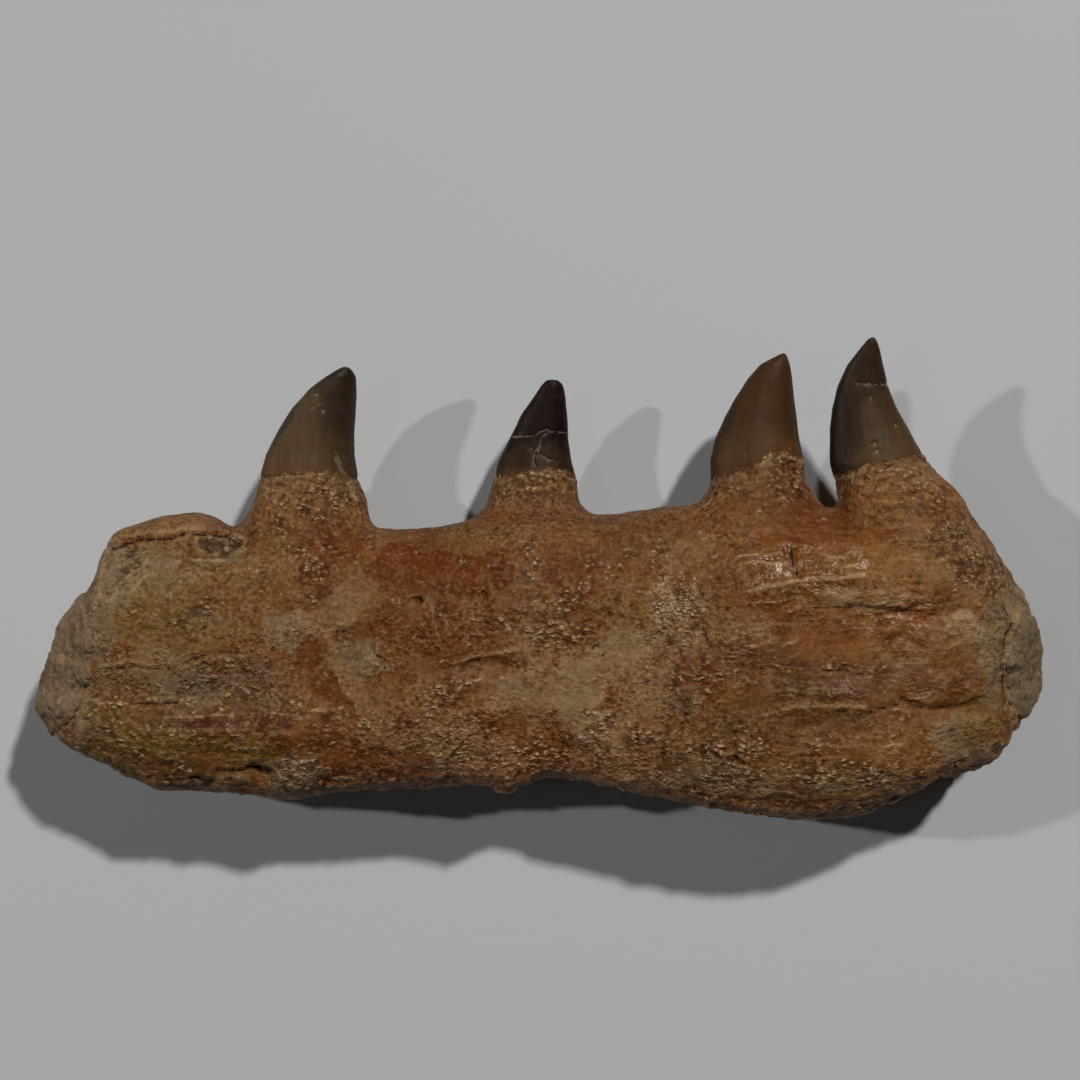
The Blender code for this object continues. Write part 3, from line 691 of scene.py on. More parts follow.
def hollowness(mesh):
    """How deep each point lies among its neighbours: above 0 in hollows."""
    points, normals = places_of(mesh)
    edges = np.empty(len(mesh.edges) * 2, int)
    mesh.edges.foreach_get("vertices", edges)
    edges = edges.reshape(-1, 2)
    count = np.bincount(edges.ravel(), minlength=len(points))
    around = points
    for _ in range(HOLLOW_REACH):
        total = np.zeros_like(around)
        np.add.at(total, edges[:, 0], around[edges[:, 1]])
        np.add.at(total, edges[:, 1], around[edges[:, 0]])
        around = total / count[:, None]
    return ((around - points) * normals).sum(axis=1)


def beside_tooth(points, name):
    """Which points lie along the stretch of jaw that carries a tooth."""
    low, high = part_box(name)
    after = points[:, 0] > low.x / MM - COLLAR_REACH
    return after & (points[:, 0] < high.x / MM + COLLAR_REACH)


def rise_above_edge(points, crown):
    """How far a point lies above the ragged lower edge of a tooth's enamel."""
    edge_x, edge_y = zip(*crown["edge"])
    rise = points[:, 1] - np.interp(points[:, 0], edge_x, edge_y)
    return rise + grain(points, 2.6, octaves=3) * 0.8


# ---- Jaw bone ----------------------------------------------------------------

def tooth_filling(name, crown):
    """The lower part of a tooth, its root swollen to fill its pocket in the bone."""
    filling = copy_of(name, name + "_filling")
    low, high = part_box(name)
    top = (max(y for _, y in crown["edge"]) + FILLING_RISE) * MM
    root = low.y + (ROOT_DEPTH + ROOT_MARGIN) * MM
    middle = ((low.x + high.x) / 2, low.y, (low.z + high.z) / 2)
    for vertex in filling.data.vertices:
        vertex.select = vertex.co.y < root
    bpy.ops.object.mode_set(mode="EDIT")
    bpy.ops.transform.resize(value=(ROOT_SWELL, 1.0, ROOT_SWELL), center_override=middle)
    bpy.ops.mesh.select_all(action="SELECT")
    bpy.ops.mesh.bisect(plane_co=(0, top, 0), plane_no=(0, 1, 0), use_fill=True,
                        clear_outer=True)
    bpy.ops.object.mode_set(mode="OBJECT")
    return filling


def bone_blank(detail):
    """The bone and its tooth fillings as one even skin."""
    bone = copy_of("jaw_bone", "jaw_bone_skin")
    fillings = [tooth_filling(name, crown) for name, crown in CROWNS.items()]
    select_only(bone)
    for filling in fillings:
        filling.select_set(True)
    bpy.ops.object.join()
    even_skin(bone, detail, SMOOTHING["bone"])
    return bone


def sideways(points, size, x_shift, y_shift):
    """Smooth random offsets along X and Y."""
    return np.stack([grain(points, size, shift=x_shift), grain(points, size, shift=y_shift),
                     np.zeros(len(points))], axis=1)


def wavering(points):
    """Where the tables place the points, for lines that waver a little and a lot."""
    seen = as_drawn(points)
    wander, fine = sideways(points, 5, 3.1, 9.7), sideways(points, 1.6, 5.3, 1.7)
    return seen + wander * 0.9 + fine * 0.35, seen + wander * 2.6 + fine * 0.6


def line_distances(drawn, loose, upper):
    """How far each point is from the dark lines and the pale ones, in half widths; the openings'
    are painted shadow and highlight.
    """
    gap, seam = np.full(len(drawn), FAR), np.full(len(drawn), FAR)
    for path, width, _ in CRACKS:
        gap = np.minimum(gap, path_distance(drawn, path) / width)
    for path, width, _ in SEAMS:
        seam = np.minimum(seam, path_distance(drawn, path) / width)
    for x, y, radius, _ in FORAMINA:
        # The openings' dark crescent, set off to one side, is painted shadow, and their pale rim
        # a painted highlight.
        shade = spot_distance(drawn, x + 0.4 * radius, y - 0.2 * radius) / radius
        gap = np.minimum(gap, 1.5 * shade)
        lit_rim = spot_distance(loose, x - 0.6 * radius, y) / radius
        seam = np.minimum(seam, 0.9 + np.abs(lit_rim - 0.9) * 2)
    return np.where(upper > 0.3, gap, FAR), np.where(upper > 0.3, seam, FAR)


def collar_masks(points):
    """The sandy collars round the teeth, and their edges next to the enamel."""
    collar, edge = np.zeros(len(points)), np.zeros(len(points))
    for name, crown in CROWNS.items():
        near = beside_tooth(points, name)
        rise = rise_above_edge(points, crown)
        collar = np.maximum(collar, soft_step((rise + 9) / 6) * near)
        edge = np.maximum(edge, soft_step((rise + 2.5) / 2.5) * near)
    return collar, edge


def bone_masks(points, normals):
    """Where the bone is cracked, smooth, crusted, fibrous and so on, 0 to 1."""
    drawn, loose = wavering(points)
    upper = soft_step((normals[:, 2] + 0.15) / 0.6)
    masks = {"drawn": drawn, "upper": upper}
    calm = 0.85 * soft_step(grain(points, 8, octaves=2, shift=31) * 2.5 + 0.1)
    masks["smooth"] = np.maximum(np.maximum(calm, oval_share(loose, SMOOTH)),
                                 soft_step(depth_inside(drawn, BRICK_PLATE))) * upper
    side = soft_step((-normals[:, 1] - 0.3) / 0.4) * soft_step((points[:, 2] - 6) / 6)
    masks["side"] = side
    crust = np.maximum(oval_share(loose, CRUSTS), 0.1) * upper + 0.12 * (1 - upper)
    patches = soft_step(grain(points, 14, octaves=2, shift=17) * 1.8 + 0.5)
    masks["crust"] = np.maximum(crust, side * patches * 0.55)
    masks["varnish"] = oval_share(loose, VARNISH) * upper
    rock = np.maximum(soft_step((depth_inside(loose, TROUGH) + 2) / 4) * 0.35,
                      soft_step((depth_inside(drawn, SOCKET) + 1.2) / 2))
    masks["rock"] = rock * upper
    rear = soft_step((points[:, 0] - 45) / 30)
    front = soft_step((-points[:, 0] - 60) / 30) * soft_step((-points[:, 1] - 30) / 12)
    masks["fibre"] = np.maximum(rear, front * 0.8)
    masks["gap"], masks["seam"] = line_distances(drawn, loose, upper)
    masks["collar"], masks["edge"] = collar_masks(points)
    return masks


def bone_colours(points, masks, look):
    """The bone's stains, sandy round the teeth and enamel brown along their edges."""
    ground = blended(np.tile(look.bone, (len(points), 1)), look, "foot", masks["collar"] * 0.6)
    colours = painted(points, look, ground, MOTTLES, STAINS, 1.6)
    return blended(colours, look, "umber_enamel", masks["edge"] * 0.7)


def carved(drawn, upper):
    """Height of the cracks, seams, folds, plates and openings."""
    lift = np.zeros(len(drawn))
    for path, width, depth in CRACKS:
        lift -= depth * fading(path_distance(drawn, path), width + 0.45)
    for path, width, height in SEAMS:
        lift += height * fading(path_distance(drawn, path), width + 0.3)
    for path, width, height in FOLDS:
        lift += height * fading(path_distance(drawn, path), width)
    for outline, height, edge in PLATES:
        lift += height * soft_step(depth_inside(drawn, outline) / edge)
    for x, y, radius, depth in FORAMINA:
        away = spot_distance(drawn, x, y) / radius
        lift += depth * (0.12 * fading(away - 1.7, 0.5) - np.exp(-away ** 4))
    return lift * upper


def collar_lift(points):
    """Draws the bone in towards a tooth and sinks its filling under the enamel."""
    lift = np.zeros(len(points))
    for name, crown in CROWNS.items():
        rise = rise_above_edge(points, crown)
        tuck = COLLAR_TUCK * soft_step((rise + 5) / 5)
        dip = np.clip(rise * COLLAR_SLOPE, 0, COLLAR_SINK)
        lift -= np.where(beside_tooth(points, name), tuck + dip, 0)
    return lift


def bone_relief(points, masks, look):
    """Height of the bone's carved forms, lumps, fibres and grains."""
    crust = masks["crust"]
    calm = 1 - 0.8 * masks["smooth"]
    lumps = grain(points, 9, octaves=2, shift=2)
    fibres = grain(points, 2.4, stretch=11) + 0.6 * grain(points, 1.3, stretch=9, shift=5)
    grains = grain(points, 2.4, shift=7) * 0.5 + grain(points, 1.3, shift=8) * 0.4
    lift = carved(masks["drawn"], masks["upper"])
    lift += lumps * look.lump_height / MM * (0.5 + 0.5 * calm)
    lift += fibres * look.fibre_height / MM * masks["fibre"] * calm
    lift += grains * look.grain_height / MM * (0.25 + 0.75 * crust) * calm
    rough = np.maximum(crust * 0.6, np.maximum(masks["collar"] * 0.8, masks["rock"]))
    lift += (knobs(points, 2.4) - 0.3) * look.grain_height / MM * 1.2 * np.clip(rough, 0, 1)
    return lift * (1 - 0.7 * masks["edge"])


def side_relief(points, side):
    """Height of the coarse lumps on the lower side and at the broken ends."""
    knobbly = (knobs(points, 2.6, 3) - 0.3) * 0.5
    lift = side * (grain(points, 4.5, octaves=3, shift=14) * 0.7 + knobbly)
    end = soft_step((np.abs(points[:, 0]) - BROKEN_END) / 6)
    return lift + end * grain(points, 4, octaves=2, shift=4) * 0.7


def sculpt_bone(bone, look):
    """Give the bone its relief, and note its stains and marks for its finish."""
    mesh = bone.data
    points, normals = places_of(mesh)
    masks = bone_masks(points, normals)
    lift = bone_relief(points, masks, look) + side_relief(points, masks["side"])
    lift += collar_lift(points)
    flat = soft_step((-normals[:, 2] - 0.8) / 0.15) * soft_step(1.5 - points[:, 2])
    lift = np.where(flat > 0, lift * (1 - flat) - np.abs(lift) * flat * 0.8, lift)
    points = points + normals * lift[:, None]
    points[:, 2] = np.maximum(points[:, 2], 0)
    set_places(mesh, points)
    for name in ("smooth", "crust", "varnish", "rock", "fibre", "gap", "seam", "collar"):
        add_attribute(mesh, name, masks[name])
    add_colour(mesh, "stain", bone_colours(masks["drawn"], masks, look))
    # How hollow each point lies; the finish paints shade in the hollows and a highlight on the
    # bulges.
    add_attribute(mesh, "hollow", np.clip(0.5 + hollowness(mesh) * 1.1, 0, 1))


# ---- Teeth and rock ----------------------------------------------------------

def crown_gaps(points, normals, crown):
    """How far each point is from a crack or a fleck in the enamel."""
    drawn = points.copy()
    drawn[:, 0] += grain(points, 2.5, octaves=2, shift=1) * 0.7
    drawn[:, 1] += grain(points, 2.5, octaves=2, shift=5) * 0.7
    gap = np.full(len(points), CLEAR)
    for path in crown["cracks"]:
        gap = np.minimum(gap, path_distance(drawn, path))
    for x, y, radius in crown["flecks"]:
        gap = np.minimum(gap, spot_distance(drawn, x, y) - radius + 0.3)
    return np.where(normals[:, 2] > -0.1, gap, CLEAR)


def sculpt_crown(item, crown, look):
    """Give a tooth its enamel edge, its sandy foot, its ribs and its cracks."""
    mesh = item.data
    points, normals = places_of(mesh)
    rise = rise_above_edge(points, crown)
    enamel = soft_step((rise + 0.5) / 4)
    gap = crown_gaps(points, normals, crown)
    ribs = grain(points * (1, 0.09, 1), 1) * 0.05 + grain(points, 7, shift=3) * 0.12
    lift = ribs * enamel - 0.16 * fading(gap, 0.5)
    for x, y, radius in crown["flecks"]:
        lift -= 0.22 * fading(spot_distance(points, x, y), radius) * (normals[:, 2] > 0)
    leaning = np.clip((rise + 4) / 26, 0, 1)[:, None] * (*crown["lean"], 0)
    set_places(mesh, points + normals * lift[:, None] + leaning)
    add_attribute(mesh, "enamel", enamel)
    add_attribute(mesh, "gap", gap)
    # How far the surface turns from facing up, which the finish darkens as painted shade on the
    # tooth's sides.
    add_attribute(mesh, "side", soft_step((0.6 - normals[:, 2]) / 0.5))
    ground = np.tile(getattr(look, crown["main"]), (len(points), 1))
    add_colour(mesh, "stain", painted(points, look, ground, [], crown["stains"], 1))


def sculpt_rock(item):
    """Give a rock its lumps and sand grains, and close it up to the bone."""
    mesh = item.data
    points, normals = places_of(mesh)
    lift = (grain(points, 7, octaves=3) * 0.9 + (knobs(points, 2.4) - 0.4) * 0.45
            + grain(points, 1.4, shift=6) * 0.3)
    towards_bone = -normals[:, 0] * np.sign(points[:, 0])
    lift += 0.5 + 1.6 * soft_step(towards_bone * 1.5 + 0.3)
    lift = np.where(np.abs(points[:, 0]) > ROCK_FACE, np.minimum(lift, ROCK_PROUD), lift)
    points = points + normals * lift[:, None]
    points[:, 2] = np.maximum(points[:, 2], 0)
    set_places(mesh, points)
    # How hollow each point lies; the finish paints shade in the hollows.
    add_attribute(mesh, "hollow", np.clip(0.5 + hollowness(mesh) * 1.6, 0, 1))


# ---- Materials ---------------------------------------------------------------

# How often a pattern repeats in a metre.
FINE_GRAINS, COARSE_GRAINS, BROAD_PATCHES, FIBRES = 780, 300, 75, 560
CRUST_GRAINS, CRUST_CLUMPS, WEAR = 690, 190, 700

STONE_TONE = 3.9                   # how strongly the fine relief is painted as light and shade
STONE_LIT_TOPS = 0.26                  # how pale its tops get, as a painted highlight
HOLLOW_SHADE_LOSS = (0.5, 0.63, 0.78)    # how much red, green and blue the painted shade in its hollows takes away
CRUST_SHADE = (0.76, 0.62, 0.5, 1)
CRACK_BLACK = (0.008, 0.005, 0.003, 1)
BONE_SHINE = (1.0, 0.92, 0.8, 1)
ENAMEL_SHINE = (1.0, 0.88, 0.72, 1)


class Tree:
    """A node tree with short ways to add and join nodes."""

    def __init__(self, tree):
        self.tree = tree

    def add(self, kind, **settings):
        node = self.tree.nodes.new(kind)
        for name, value in settings.items():
            setattr(node, name, value)
        return node

    def feed(self, socket, value):
        """Join a socket to another one, or give it a plain value."""
        if isinstance(value, bpy.types.NodeSocket):
            self.tree.links.new(value, socket)
        else:
            socket.default_value = value

    def feed_all(self, sockets, values):
        for socket, value in zip(sockets, values):
            self.feed(socket, value)

    def group(self, group, **values):
        node = self.add("ShaderNodeGroup", node_tree=group)
        for name, value in values.items():
            self.feed(node.inputs[name], value)
        return node.outputs

    def math(self, operation, a, b, clamp=False):
        node = self.add("ShaderNodeMath", operation=operation, use_clamp=clamp)
        self.feed_all(node.inputs, (a, b))
        return node.outputs[0]

    def times(self, *values):
        result = values[0]
        for value in values[1:]:
            result = self.math("MULTIPLY", result, value)
        return result

    def plus(self, *values):
        result = values[0]
        for value in values[1:]:
            result = self.math("ADD", result, value)
        return result

    def vector(self, operation, a, b):
        node = self.add("ShaderNodeVectorMath", operation=operation)
        self.feed_all(node.inputs, (a, b))
        return node.outputs[0]

    def object_place(self):
        return self.add("ShaderNodeTexCoord").outputs["Object"]

    def noise(self, place, scale, detail, roughness, output="Fac"):
        node = self.add("ShaderNodeTexNoise")
        self.feed(node.inputs["Vector"], place)
        set_values(node, Scale=scale, Detail=detail, Roughness=roughness)
        return node.outputs[output]

    def swing(self, place, scale, detail, roughness):
        """Smooth noise to both sides of 0."""
        return self.math("SUBTRACT", self.noise(place, scale, detail, roughness), 0.5)

    def pushed(self, place, scale, reach):
        """A place moved about by smooth noise, up to about half the reach."""
        noise_colour = self.noise(place, scale, 1, 0.65, "Color")
        off = self.vector("SUBTRACT", noise_colour, (0.5, 0.5, 0.5))
        return self.vector("ADD", place, self.vector("MULTIPLY", off, (reach, reach, 0)))

    def cells(self, place, scale):
        node = self.add("ShaderNodeTexVoronoi", feature="F1")
        self.feed(node.inputs["Vector"], place)
        set_values(node, Scale=scale)
        return node.outputs

    def ramp(self, value, low, high, to_low=0.0, to_high=1.0):
        node = self.add("ShaderNodeMapRange", interpolation_type="SMOOTHSTEP")
        self.feed_all(node.inputs, (value, low, high, to_low, to_high))
        return node.outputs[0]

    def mix(self, share, a, b, blend="MIX"):
        node = self.add("ShaderNodeMix", data_type="RGBA", blend_type=blend)
        self.feed(node.inputs["Factor"], share)
        self.feed_all(node.inputs[6:8], (a, b))
        return node.outputs[2]

    def attribute(self, name, output="Fac"):
        return self.add("ShaderNodeAttribute", attribute_name=name).outputs[output]

    def bump(self, shader, height, distance, strength):
        node = self.add("ShaderNodeBump")
        set_values(node, Strength=strength, Distance=distance * MM)
        self.feed(node.inputs["Height"], height)
        self.feed(shader.inputs["Normal"], node.outputs[0])


def set_values(node, **values):
    """Set a node's own sockets, with _ for the spaces in their names."""
    for name, value in values.items():
        node.inputs[name.replace("_", " ")].default_value = value


def new_group(name, inputs, outputs):
    """A shader node group with its sockets made: (kind, name, default)."""
    group = bpy.data.node_groups.new(name, "ShaderNodeTree")
    for kind, label, default in inputs:
        socket = group.interface.new_socket(label, in_out="INPUT", socket_type=kind)
        socket.default_value = default
    for kind, label in outputs:
        group.interface.new_socket(label, in_out="OUTPUT", socket_type=kind)
    tree = Tree(group)
    return group, tree, tree.add("NodeGroupInput").outputs, tree.add("NodeGroupOutput").inputs


def stony_grain_group():
    """Fine stony relief on a colour: painted shade makes its hollows dark and reddish, and
    painted light makes its tops pale.
    """
    group, tree, given, result = new_group("stony_grain", [
        ("NodeSocketColor", "Colour", (1, 1, 1, 1)),
        ("NodeSocketColor", "Grain", (1, 1, 1, 1)),
        ("NodeSocketVector", "Place", (0, 0, 0)),
        ("NodeSocketFloat", "Contrast", 1.0),
        ("NodeSocketFloat", "Fibres", 0.5),
    ], [("NodeSocketColor", "Colour"), ("NodeSocketFloat", "Height"),
        ("NodeSocketFloat", "Patches")])
    place = given["Place"]
    long_way = tree.vector("MULTIPLY", tree.pushed(place, 60, 0.006), (0.16, 1, 1))
    fine = tree.times(tree.swing(place, FINE_GRAINS, 1, 0.6),
                      tree.plus(1.0, tree.times(given["Fibres"], -0.5)))
    coarse = tree.swing(place, COARSE_GRAINS, 3, 0.65)
    broad = tree.swing(place, BROAD_PATCHES, 2, 0.6)
    fibre = tree.times(tree.swing(long_way, FIBRES, 2, 0.6), given["Fibres"])
    relief = tree.plus(fine, tree.times(coarse, 0.6), tree.times(fibre, 1.1))
    tone = tree.times(tree.plus(fine, tree.times(coarse, 0.3), tree.times(broad, 0.3), fibre),
                      given["Contrast"], STONE_TONE)
    # Painted shade darkens the low parts of the relief, and painted light pales its high parts.
    hollows = tree.math("MINIMUM", tone, 0.0)
    losses = tree.add("ShaderNodeCombineColor")
    for socket, loss in zip(losses.inputs, HOLLOW_SHADE_LOSS):
        tree.feed(socket, tree.math("MAXIMUM", tree.plus(1.0, tree.times(hollows, loss)), 0.1))
    shaded_colour = tree.mix(1.0, given["Colour"], losses.outputs[0], "MULTIPLY")
    tops = tree.times(tree.math("MAXIMUM", tone, 0.0), STONE_LIT_TOPS)
    tree.feed(result["Colour"], tree.mix(tree.math("MINIMUM", tops, 0.6), shaded_colour, given["Grain"]))
    tree.feed(result["Height"], relief)
    tree.feed(result["Patches"], coarse)
    return group


def grain_crust_group():
    """Scattered knobbly grains over a colour: pale on top, partly their own colour and partly a
    painted highlight, and dark between them with painted shade.
    """
    group, tree, given, result = new_group("grain_crust", [
        ("NodeSocketColor", "Colour", (1, 1, 1, 1)),
        ("NodeSocketColor", "Grain", (1, 1, 1, 1)),
        ("NodeSocketColor", "Pit", (0, 0, 0, 1)),
        ("NodeSocketVector", "Place", (0, 0, 0)),
        ("NodeSocketFloat", "Share", 0.5),
    ], [("NodeSocketColor", "Colour"), ("NodeSocketFloat", "Height")])
    long_way = tree.vector("MULTIPLY", given["Place"], (0.75, 1, 1))
    cells = tree.cells(tree.pushed(long_way, 700, 0.0022), CRUST_GRAINS)
    chance = tree.add("ShaderNodeSeparateColor")
    tree.feed(chance.inputs[0], cells["Color"])
    clumps = tree.swing(given["Place"], CRUST_CLUMPS, 2, 0.6)
    wanted = tree.math("ADD", given["Share"], tree.times(clumps, 2.4), clamp=True)
    top = tree.ramp(cells["Distance"], 0.6, 0.15)
    chosen = tree.ramp(tree.plus(chance.outputs[0], wanted), 0.95, 1.6)
    # The pale tops are partly the grains' own colour and partly a painted highlight.
    pale = tree.times(top, tree.plus(tree.times(chosen, 0.62), tree.times(wanted, 0.15)))
    # Painted shade darkens the pits between the grains and the ground among them.
    shaded_pits = tree.times(tree.ramp(cells["Distance"], 0.45, 0.75), wanted, 0.6)
    ground = tree.mix(tree.times(wanted, 0.7), given["Colour"], CRUST_SHADE, "MULTIPLY")
    dark = tree.mix(shaded_pits, ground, given["Pit"])
    tree.feed(result["Colour"], tree.mix(pale, dark, given["Grain"]))
    tree.feed(result["Height"], tree.times(top, wanted, tree.plus(0.3, chosen)))
    return group


def grained(tree, look, place, colour, contrast, fibres, crust):
    """The groups' outputs: a colour with its stony grain, and that with a crust on it."""
    shared = bpy.data.node_groups
    stone = shared.get("stony_grain") or stony_grain_group()
    fine = tree.group(stone, Colour=colour, Grain=rgba(look, "grains"), Place=place,
                      Contrast=contrast, Fibres=fibres)
    knobbly = shared.get("grain_crust") or grain_crust_group()
    crusted = tree.group(knobbly, Colour=fine["Colour"], Grain=rgba(look, "grains"),
                         Pit=rgba(look, "dirt_and_shade"), Place=place, Share=crust)
    return fine, crusted


def new_material(name):
    material = bpy.data.materials.new(name)
    material.use_nodes = True
    return material, Tree(material.node_tree), material.node_tree.nodes["Principled BSDF"]


def bone_material(look):
    """Stained, varnished bone with crusts of grains, pale seams, cracks and dirt, painted shade
    in its hollows and painted highlights on its bulges.
    """
    material, tree, shader = new_material("fossil_bone_finish")
    place = tree.object_place()
    grains, dirt_and_shade = rgba(look, "grains"), rgba(look, "dirt_and_shade")
    smooth, rock, hollow = (tree.attribute(name) for name in ("smooth", "rock", "hollow"))
    colour = tree.mix(tree.times(rock, 0.8), tree.attribute("stain", "Color"),
                      rgba(look, "grey"))
    crust = tree.math("MAXIMUM", tree.attribute("crust"),
                      tree.times(tree.attribute("collar"), 0.35))
    fine, crusted = grained(tree, look, place, colour, tree.ramp(smooth, 0, 1, 1.0, 0.5),
                            tree.times(tree.attribute("fibre"), 0.65), crust)
    # Painted shade: the deeper a point lies among its neighbours, the more of the dark colour it
    # gets.
    colour = tree.mix(tree.ramp(hollow, 0.58, 1.0, 0.0, 0.5), crusted["Colour"], dirt_and_shade)
    # Painted highlight: points that bulge out from their neighbours pale towards the grain
    # colour.
    colour = tree.mix(tree.ramp(hollow, 0.46, 0.1, 0.0, 0.3), colour, grains)
    ragging = tree.times(tree.noise(place, WEAR, 2, 0.7), 1.3)
    # Pale seams: partly pale grains, partly a painted highlight along the ridges.
    seam = tree.times(tree.ramp(tree.plus(tree.attribute("seam"), ragging), 1.7, 0.9),
                      tree.ramp(tree.noise(place, 240, 2, 0.6), 0.42, 0.62, 0.0, 0.45))
    colour = tree.mix(seam, colour, grains)
    # Near black along the cracks, and painted shadow in the openings' crescents.
    slit = tree.ramp(tree.plus(tree.attribute("gap"), ragging), 1.7, 1.0)
    colour = tree.mix(tree.times(slit, 0.75), colour, CRACK_BLACK)
    tree.feed(shader.inputs["Base Color"], colour)
    varnish = tree.times(tree.attribute("varnish"), tree.ramp(fine["Patches"], -0.1, 0.06))
    dullness = tree.math("ADD", tree.ramp(varnish, 0, 1, 0.55, 0.25), tree.times(rock, 0.25),
                         clamp=True)
    tree.feed(shader.inputs["Roughness"], dullness)
    tree.feed(shader.inputs["Specular IOR Level"], tree.ramp(varnish, 0, 1, 0.16, 0.9))
    set_values(shader, Specular_Tint=BONE_SHINE)
    height = tree.plus(tree.times(fine["Height"], tree.ramp(smooth, 0, 1, 0.85, 0.25)),
                       tree.times(crusted["Height"], 0.7), tree.times(slit, -0.4))
    tree.bump(shader, height, distance=1.4, strength=0.9)
    return material


def crown_material(crown, look):
    """Dark enamel, stained and cracked, with painted shade on its sides, over a sandy foot."""
    material, tree, shader = new_material(crown["slot"] + "_finish")
    place = tree.object_place()
    dark, sandy = rgba(look, "dark_and_shaded_enamel"), rgba(look, "foot")
    streak = tree.noise(tree.vector("MULTIPLY", place, (1, 0.06, 1)), 900, 3, 0.6)
    enamel = tree.mix(tree.ramp(streak, 0.4, 0.75, 0.0, 0.3), tree.attribute("stain", "Color"),
                      dark)
    enamel = tree.mix(tree.ramp(tree.noise(place, 420, 3, 0.7), 0.52, 0.8, 0.0, 0.25), enamel,
                      sandy)
    # Painted shade darkens the tooth's sides.
    enamel = tree.mix(tree.times(tree.attribute("side"), 0.7), enamel, dark)
    worn = tree.noise(place, WEAR, 2, 0.7)
    gap = tree.plus(tree.attribute("gap"), tree.times(worn, 0.6))
    enamel = tree.mix(tree.ramp(gap, 0.65, 0.4, 0.0, 0.4), enamel, rgba(look, "flaw"))
    share = tree.ramp(tree.plus(tree.attribute("enamel"), tree.times(worn, 0.9)), 0.62, 1.05)
    fine, foot = grained(tree, look, place, sandy, 0.8, 0.1, 0.6)
    tree.feed(shader.inputs["Base Color"], tree.mix(share, foot["Colour"], enamel))
    set_values(shader, Roughness=0.5, Specular_IOR_Level=0.2, Specular_Tint=ENAMEL_SHINE)
    rough = tree.times(tree.plus(fine["Height"], foot["Height"]),
                       tree.ramp(share, 0, 1, 1.0, 0.05))
    height = tree.plus(tree.times(streak, 0.3), rough)
    tree.bump(shader, height, distance=0.35, strength=0.6)
    return material


def rock_material(name, colour, look):
    """Dull sandstone full of dark and pale grains, with painted shade in its hollows."""
    material, tree, shader = new_material(name + "_finish")
    place = tree.object_place()
    broad = tree.ramp(tree.noise(place, 90, 3, 0.6), 0.35, 0.65, 0.0, 0.6)
    sand = tree.mix(broad, rgba(look, colour), rgba(look, "grey"))
    fine, grains = grained(tree, look, place, sand, 0.6, 0.0, 0.15)
    # Painted shade: the deeper a point lies among its neighbours, the more of the dark colour it
    # gets.
    hollow = tree.ramp(tree.attribute("hollow"), 0.55, 1.0, 0.0, 0.6)
    tree.feed(shader.inputs["Base Color"],
              tree.mix(hollow, grains["Colour"], rgba(look, "dirt_and_shade")))
    set_values(shader, Roughness=0.85, Specular_IOR_Level=0.25)
    height = tree.plus(fine["Height"], tree.times(grains["Height"], 0.5))
    tree.bump(shader, height, distance=0.35, strength=0.8)
    return material


# ---- Operators ---------------------------------------------------------------

class FOSSIL_OT_jaw_bone(bpy.types.Operator):
    """Model the jaw bone over its frame node and finish it"""

    bl_idname = "fossil.jaw_bone"
    bl_label = "Jaw bone"

    def execute(self, context):
        look = context.scene.fossil_jaw_look
        bone = bone_blank(look.bone_detail)
        sculpt_bone(bone, look)
        finish_piece(bone, "jaw_bone", bone_material(look))
        return {"FINISHED"}


class FOSSIL_OT_teeth(bpy.types.Operator):
    """Model the four teeth over their frame nodes and finish them"""

    bl_idname = "fossil.teeth"
    bl_label = "Teeth"

    def execute(self, context):
        look = context.scene.fossil_jaw_look
        for name, crown in CROWNS.items():
            tooth = copy_of(name, name + "_crown")
            even_skin(tooth, look.tooth_detail, SMOOTHING["tooth"])
            sculpt_crown(tooth, crown, look)
            finish_piece(tooth, name, crown_material(crown, look))
        return {"FINISHED"}


class FOSSIL_OT_rocks(bpy.types.Operator):
    """Model the rock at both broken ends and finish it"""

    bl_idname = "fossil.rocks"
    bl_label = "Rock at the ends"

    def execute(self, context):
        look = context.scene.fossil_jaw_look
        for name, colour in ROCKS.items():
            rock = copy_of(name, name + "_stone")
            even_skin(rock, look.rock_detail, SMOOTHING["rock"])
            sculpt_rock(rock)
            finish_piece(rock, name, rock_material(name, colour, look))
        return {"FINISHED"}


def add_floor(look):
    """A plain pale table under the jaw."""
    bpy.ops.mesh.primitive_plane_add(size=FLOOR_SIZE, location=(0, 0, 0))
    floor = bpy.context.object
    floor.name = "pale_floor"
    material, _, shader = new_material("pale_table")
    set_values(shader, Base_Color=rgba(look, "floor"), Roughness=0.6)
    floor.data.materials.append(material)


def add_lamp(name, towards, distance, size, power):
    """A square lamp in a direction from the jaw, turned to face it."""
    place = Vector(towards).normalized() * distance
    turn = place.to_track_quat("Z", "Y").to_euler()
    bpy.ops.object.light_add(type="AREA", location=place, rotation=turn)
    lamp = bpy.context.object
    lamp.name = name
    lamp.data.size = size
    lamp.data.energy = power


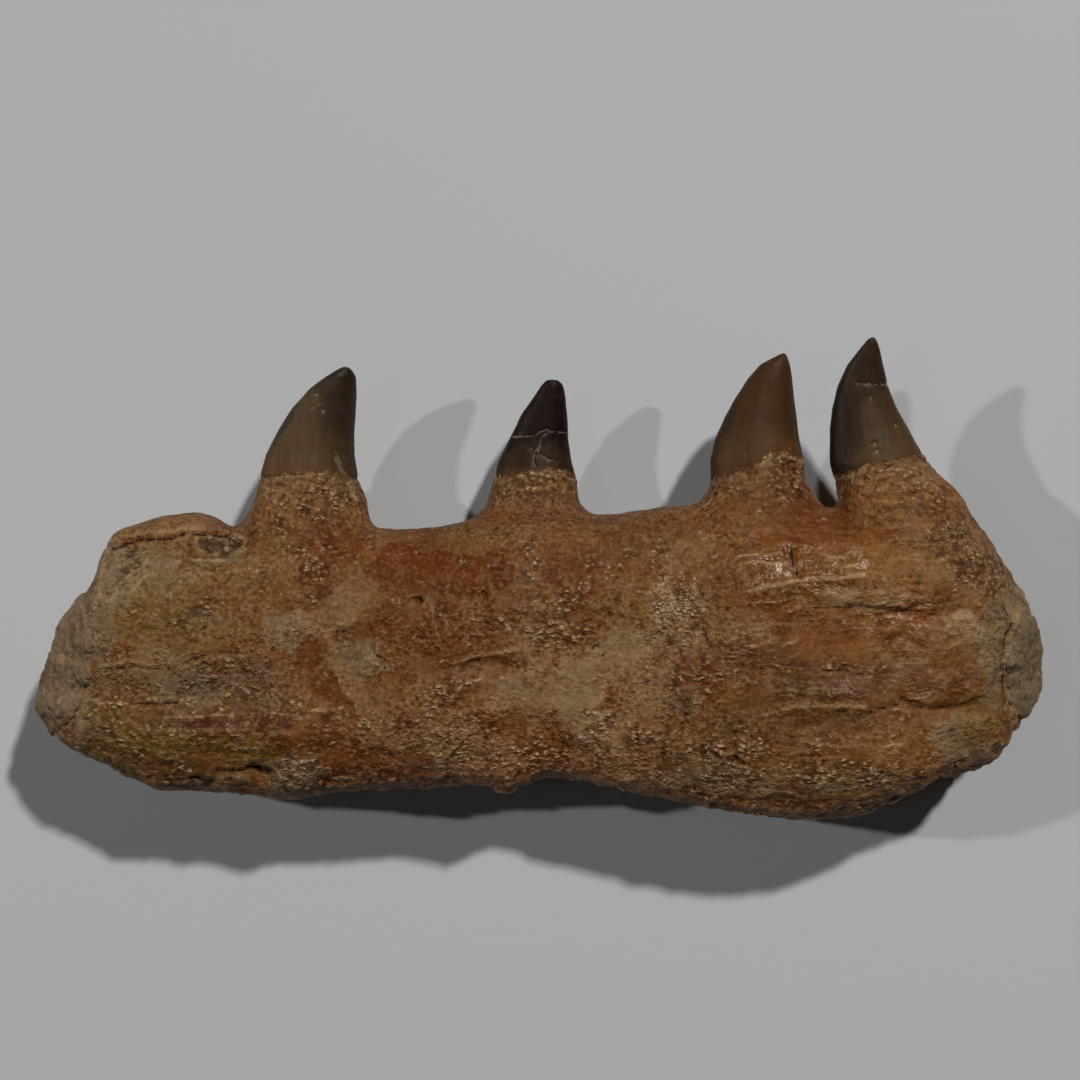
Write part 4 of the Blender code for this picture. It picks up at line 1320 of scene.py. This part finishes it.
def light_room(scene):
    """A faint even light from all round."""
    scene.world = bpy.data.worlds.new("studio")
    scene.world.use_nodes = True
    background = scene.world.node_tree.nodes["Background"]
    set_values(background, Color=SKY_COLOUR, Strength=SKY_STRENGTH)
    scene.view_settings.view_transform = "Standard"


def add_camera(scene):
    """A camera straight above the jaw."""
    bpy.ops.object.camera_add(location=Vector(EYE) * MM, rotation=(0, 0, 0))
    camera = bpy.context.object
    camera.name = "view_from_above"
    camera.data.sensor_width = SENSOR_WIDTH
    camera.data.lens = SENSOR_WIDTH * (EYE[2] - DRAWN_HEIGHT) / VIEW_WIDTH
    camera.data.clip_start = 0.01
    scene.camera = camera


class FOSSIL_OT_stage(bpy.types.Operator):
    """Set the floor, the lights and the camera"""

    bl_idname = "fossil.stage"
    bl_label = "Stage"

    def execute(self, context):
        bpy.ops.object.select_all(action="DESELECT")
        add_floor(context.scene.fossil_jaw_look)
        for lamp in LAMPS:
            add_lamp(*lamp)
        light_room(context.scene)
        add_camera(context.scene)
        return {"FINISHED"}


class FOSSIL_PT_panel(bpy.types.Panel):
    """Lists the steps and the settings"""

    bl_idname = "FOSSIL_PT_panel"
    bl_label = "Fossil Jaw"
    bl_space_type = "VIEW_3D"
    bl_region_type = "UI"
    bl_category = "Fossil Jaw"

    def draw(self, context):
        for operator in ("fossil.jaw_bone", "fossil.teeth", "fossil.rocks", "fossil.stage"):
            self.layout.operator(operator)
        look = context.scene.fossil_jaw_look
        for name in look.bl_rna.properties.keys():
            if name not in ("rna_type", "name"):
                self.layout.prop(look, name)


CLASSES = (FOSSIL_jaw_look, FOSSIL_OT_jaw_bone, FOSSIL_OT_teeth, FOSSIL_OT_rocks,
           FOSSIL_OT_stage, FOSSIL_PT_panel)


def register():
    for item in CLASSES:
        bpy.utils.register_class(item)
    bpy.types.Scene.fossil_jaw_look = bpy.props.PointerProperty(type=FOSSIL_jaw_look)


def unregister():
    del bpy.types.Scene.fossil_jaw_look
    for item in reversed(CLASSES):
        bpy.utils.unregister_class(item)


def main():
    register()
    bpy.ops.fossil.jaw_bone()
    bpy.ops.fossil.teeth()
    bpy.ops.fossil.rocks()
    bpy.ops.fossil.stage()


if __name__ == "__main__":
    main()
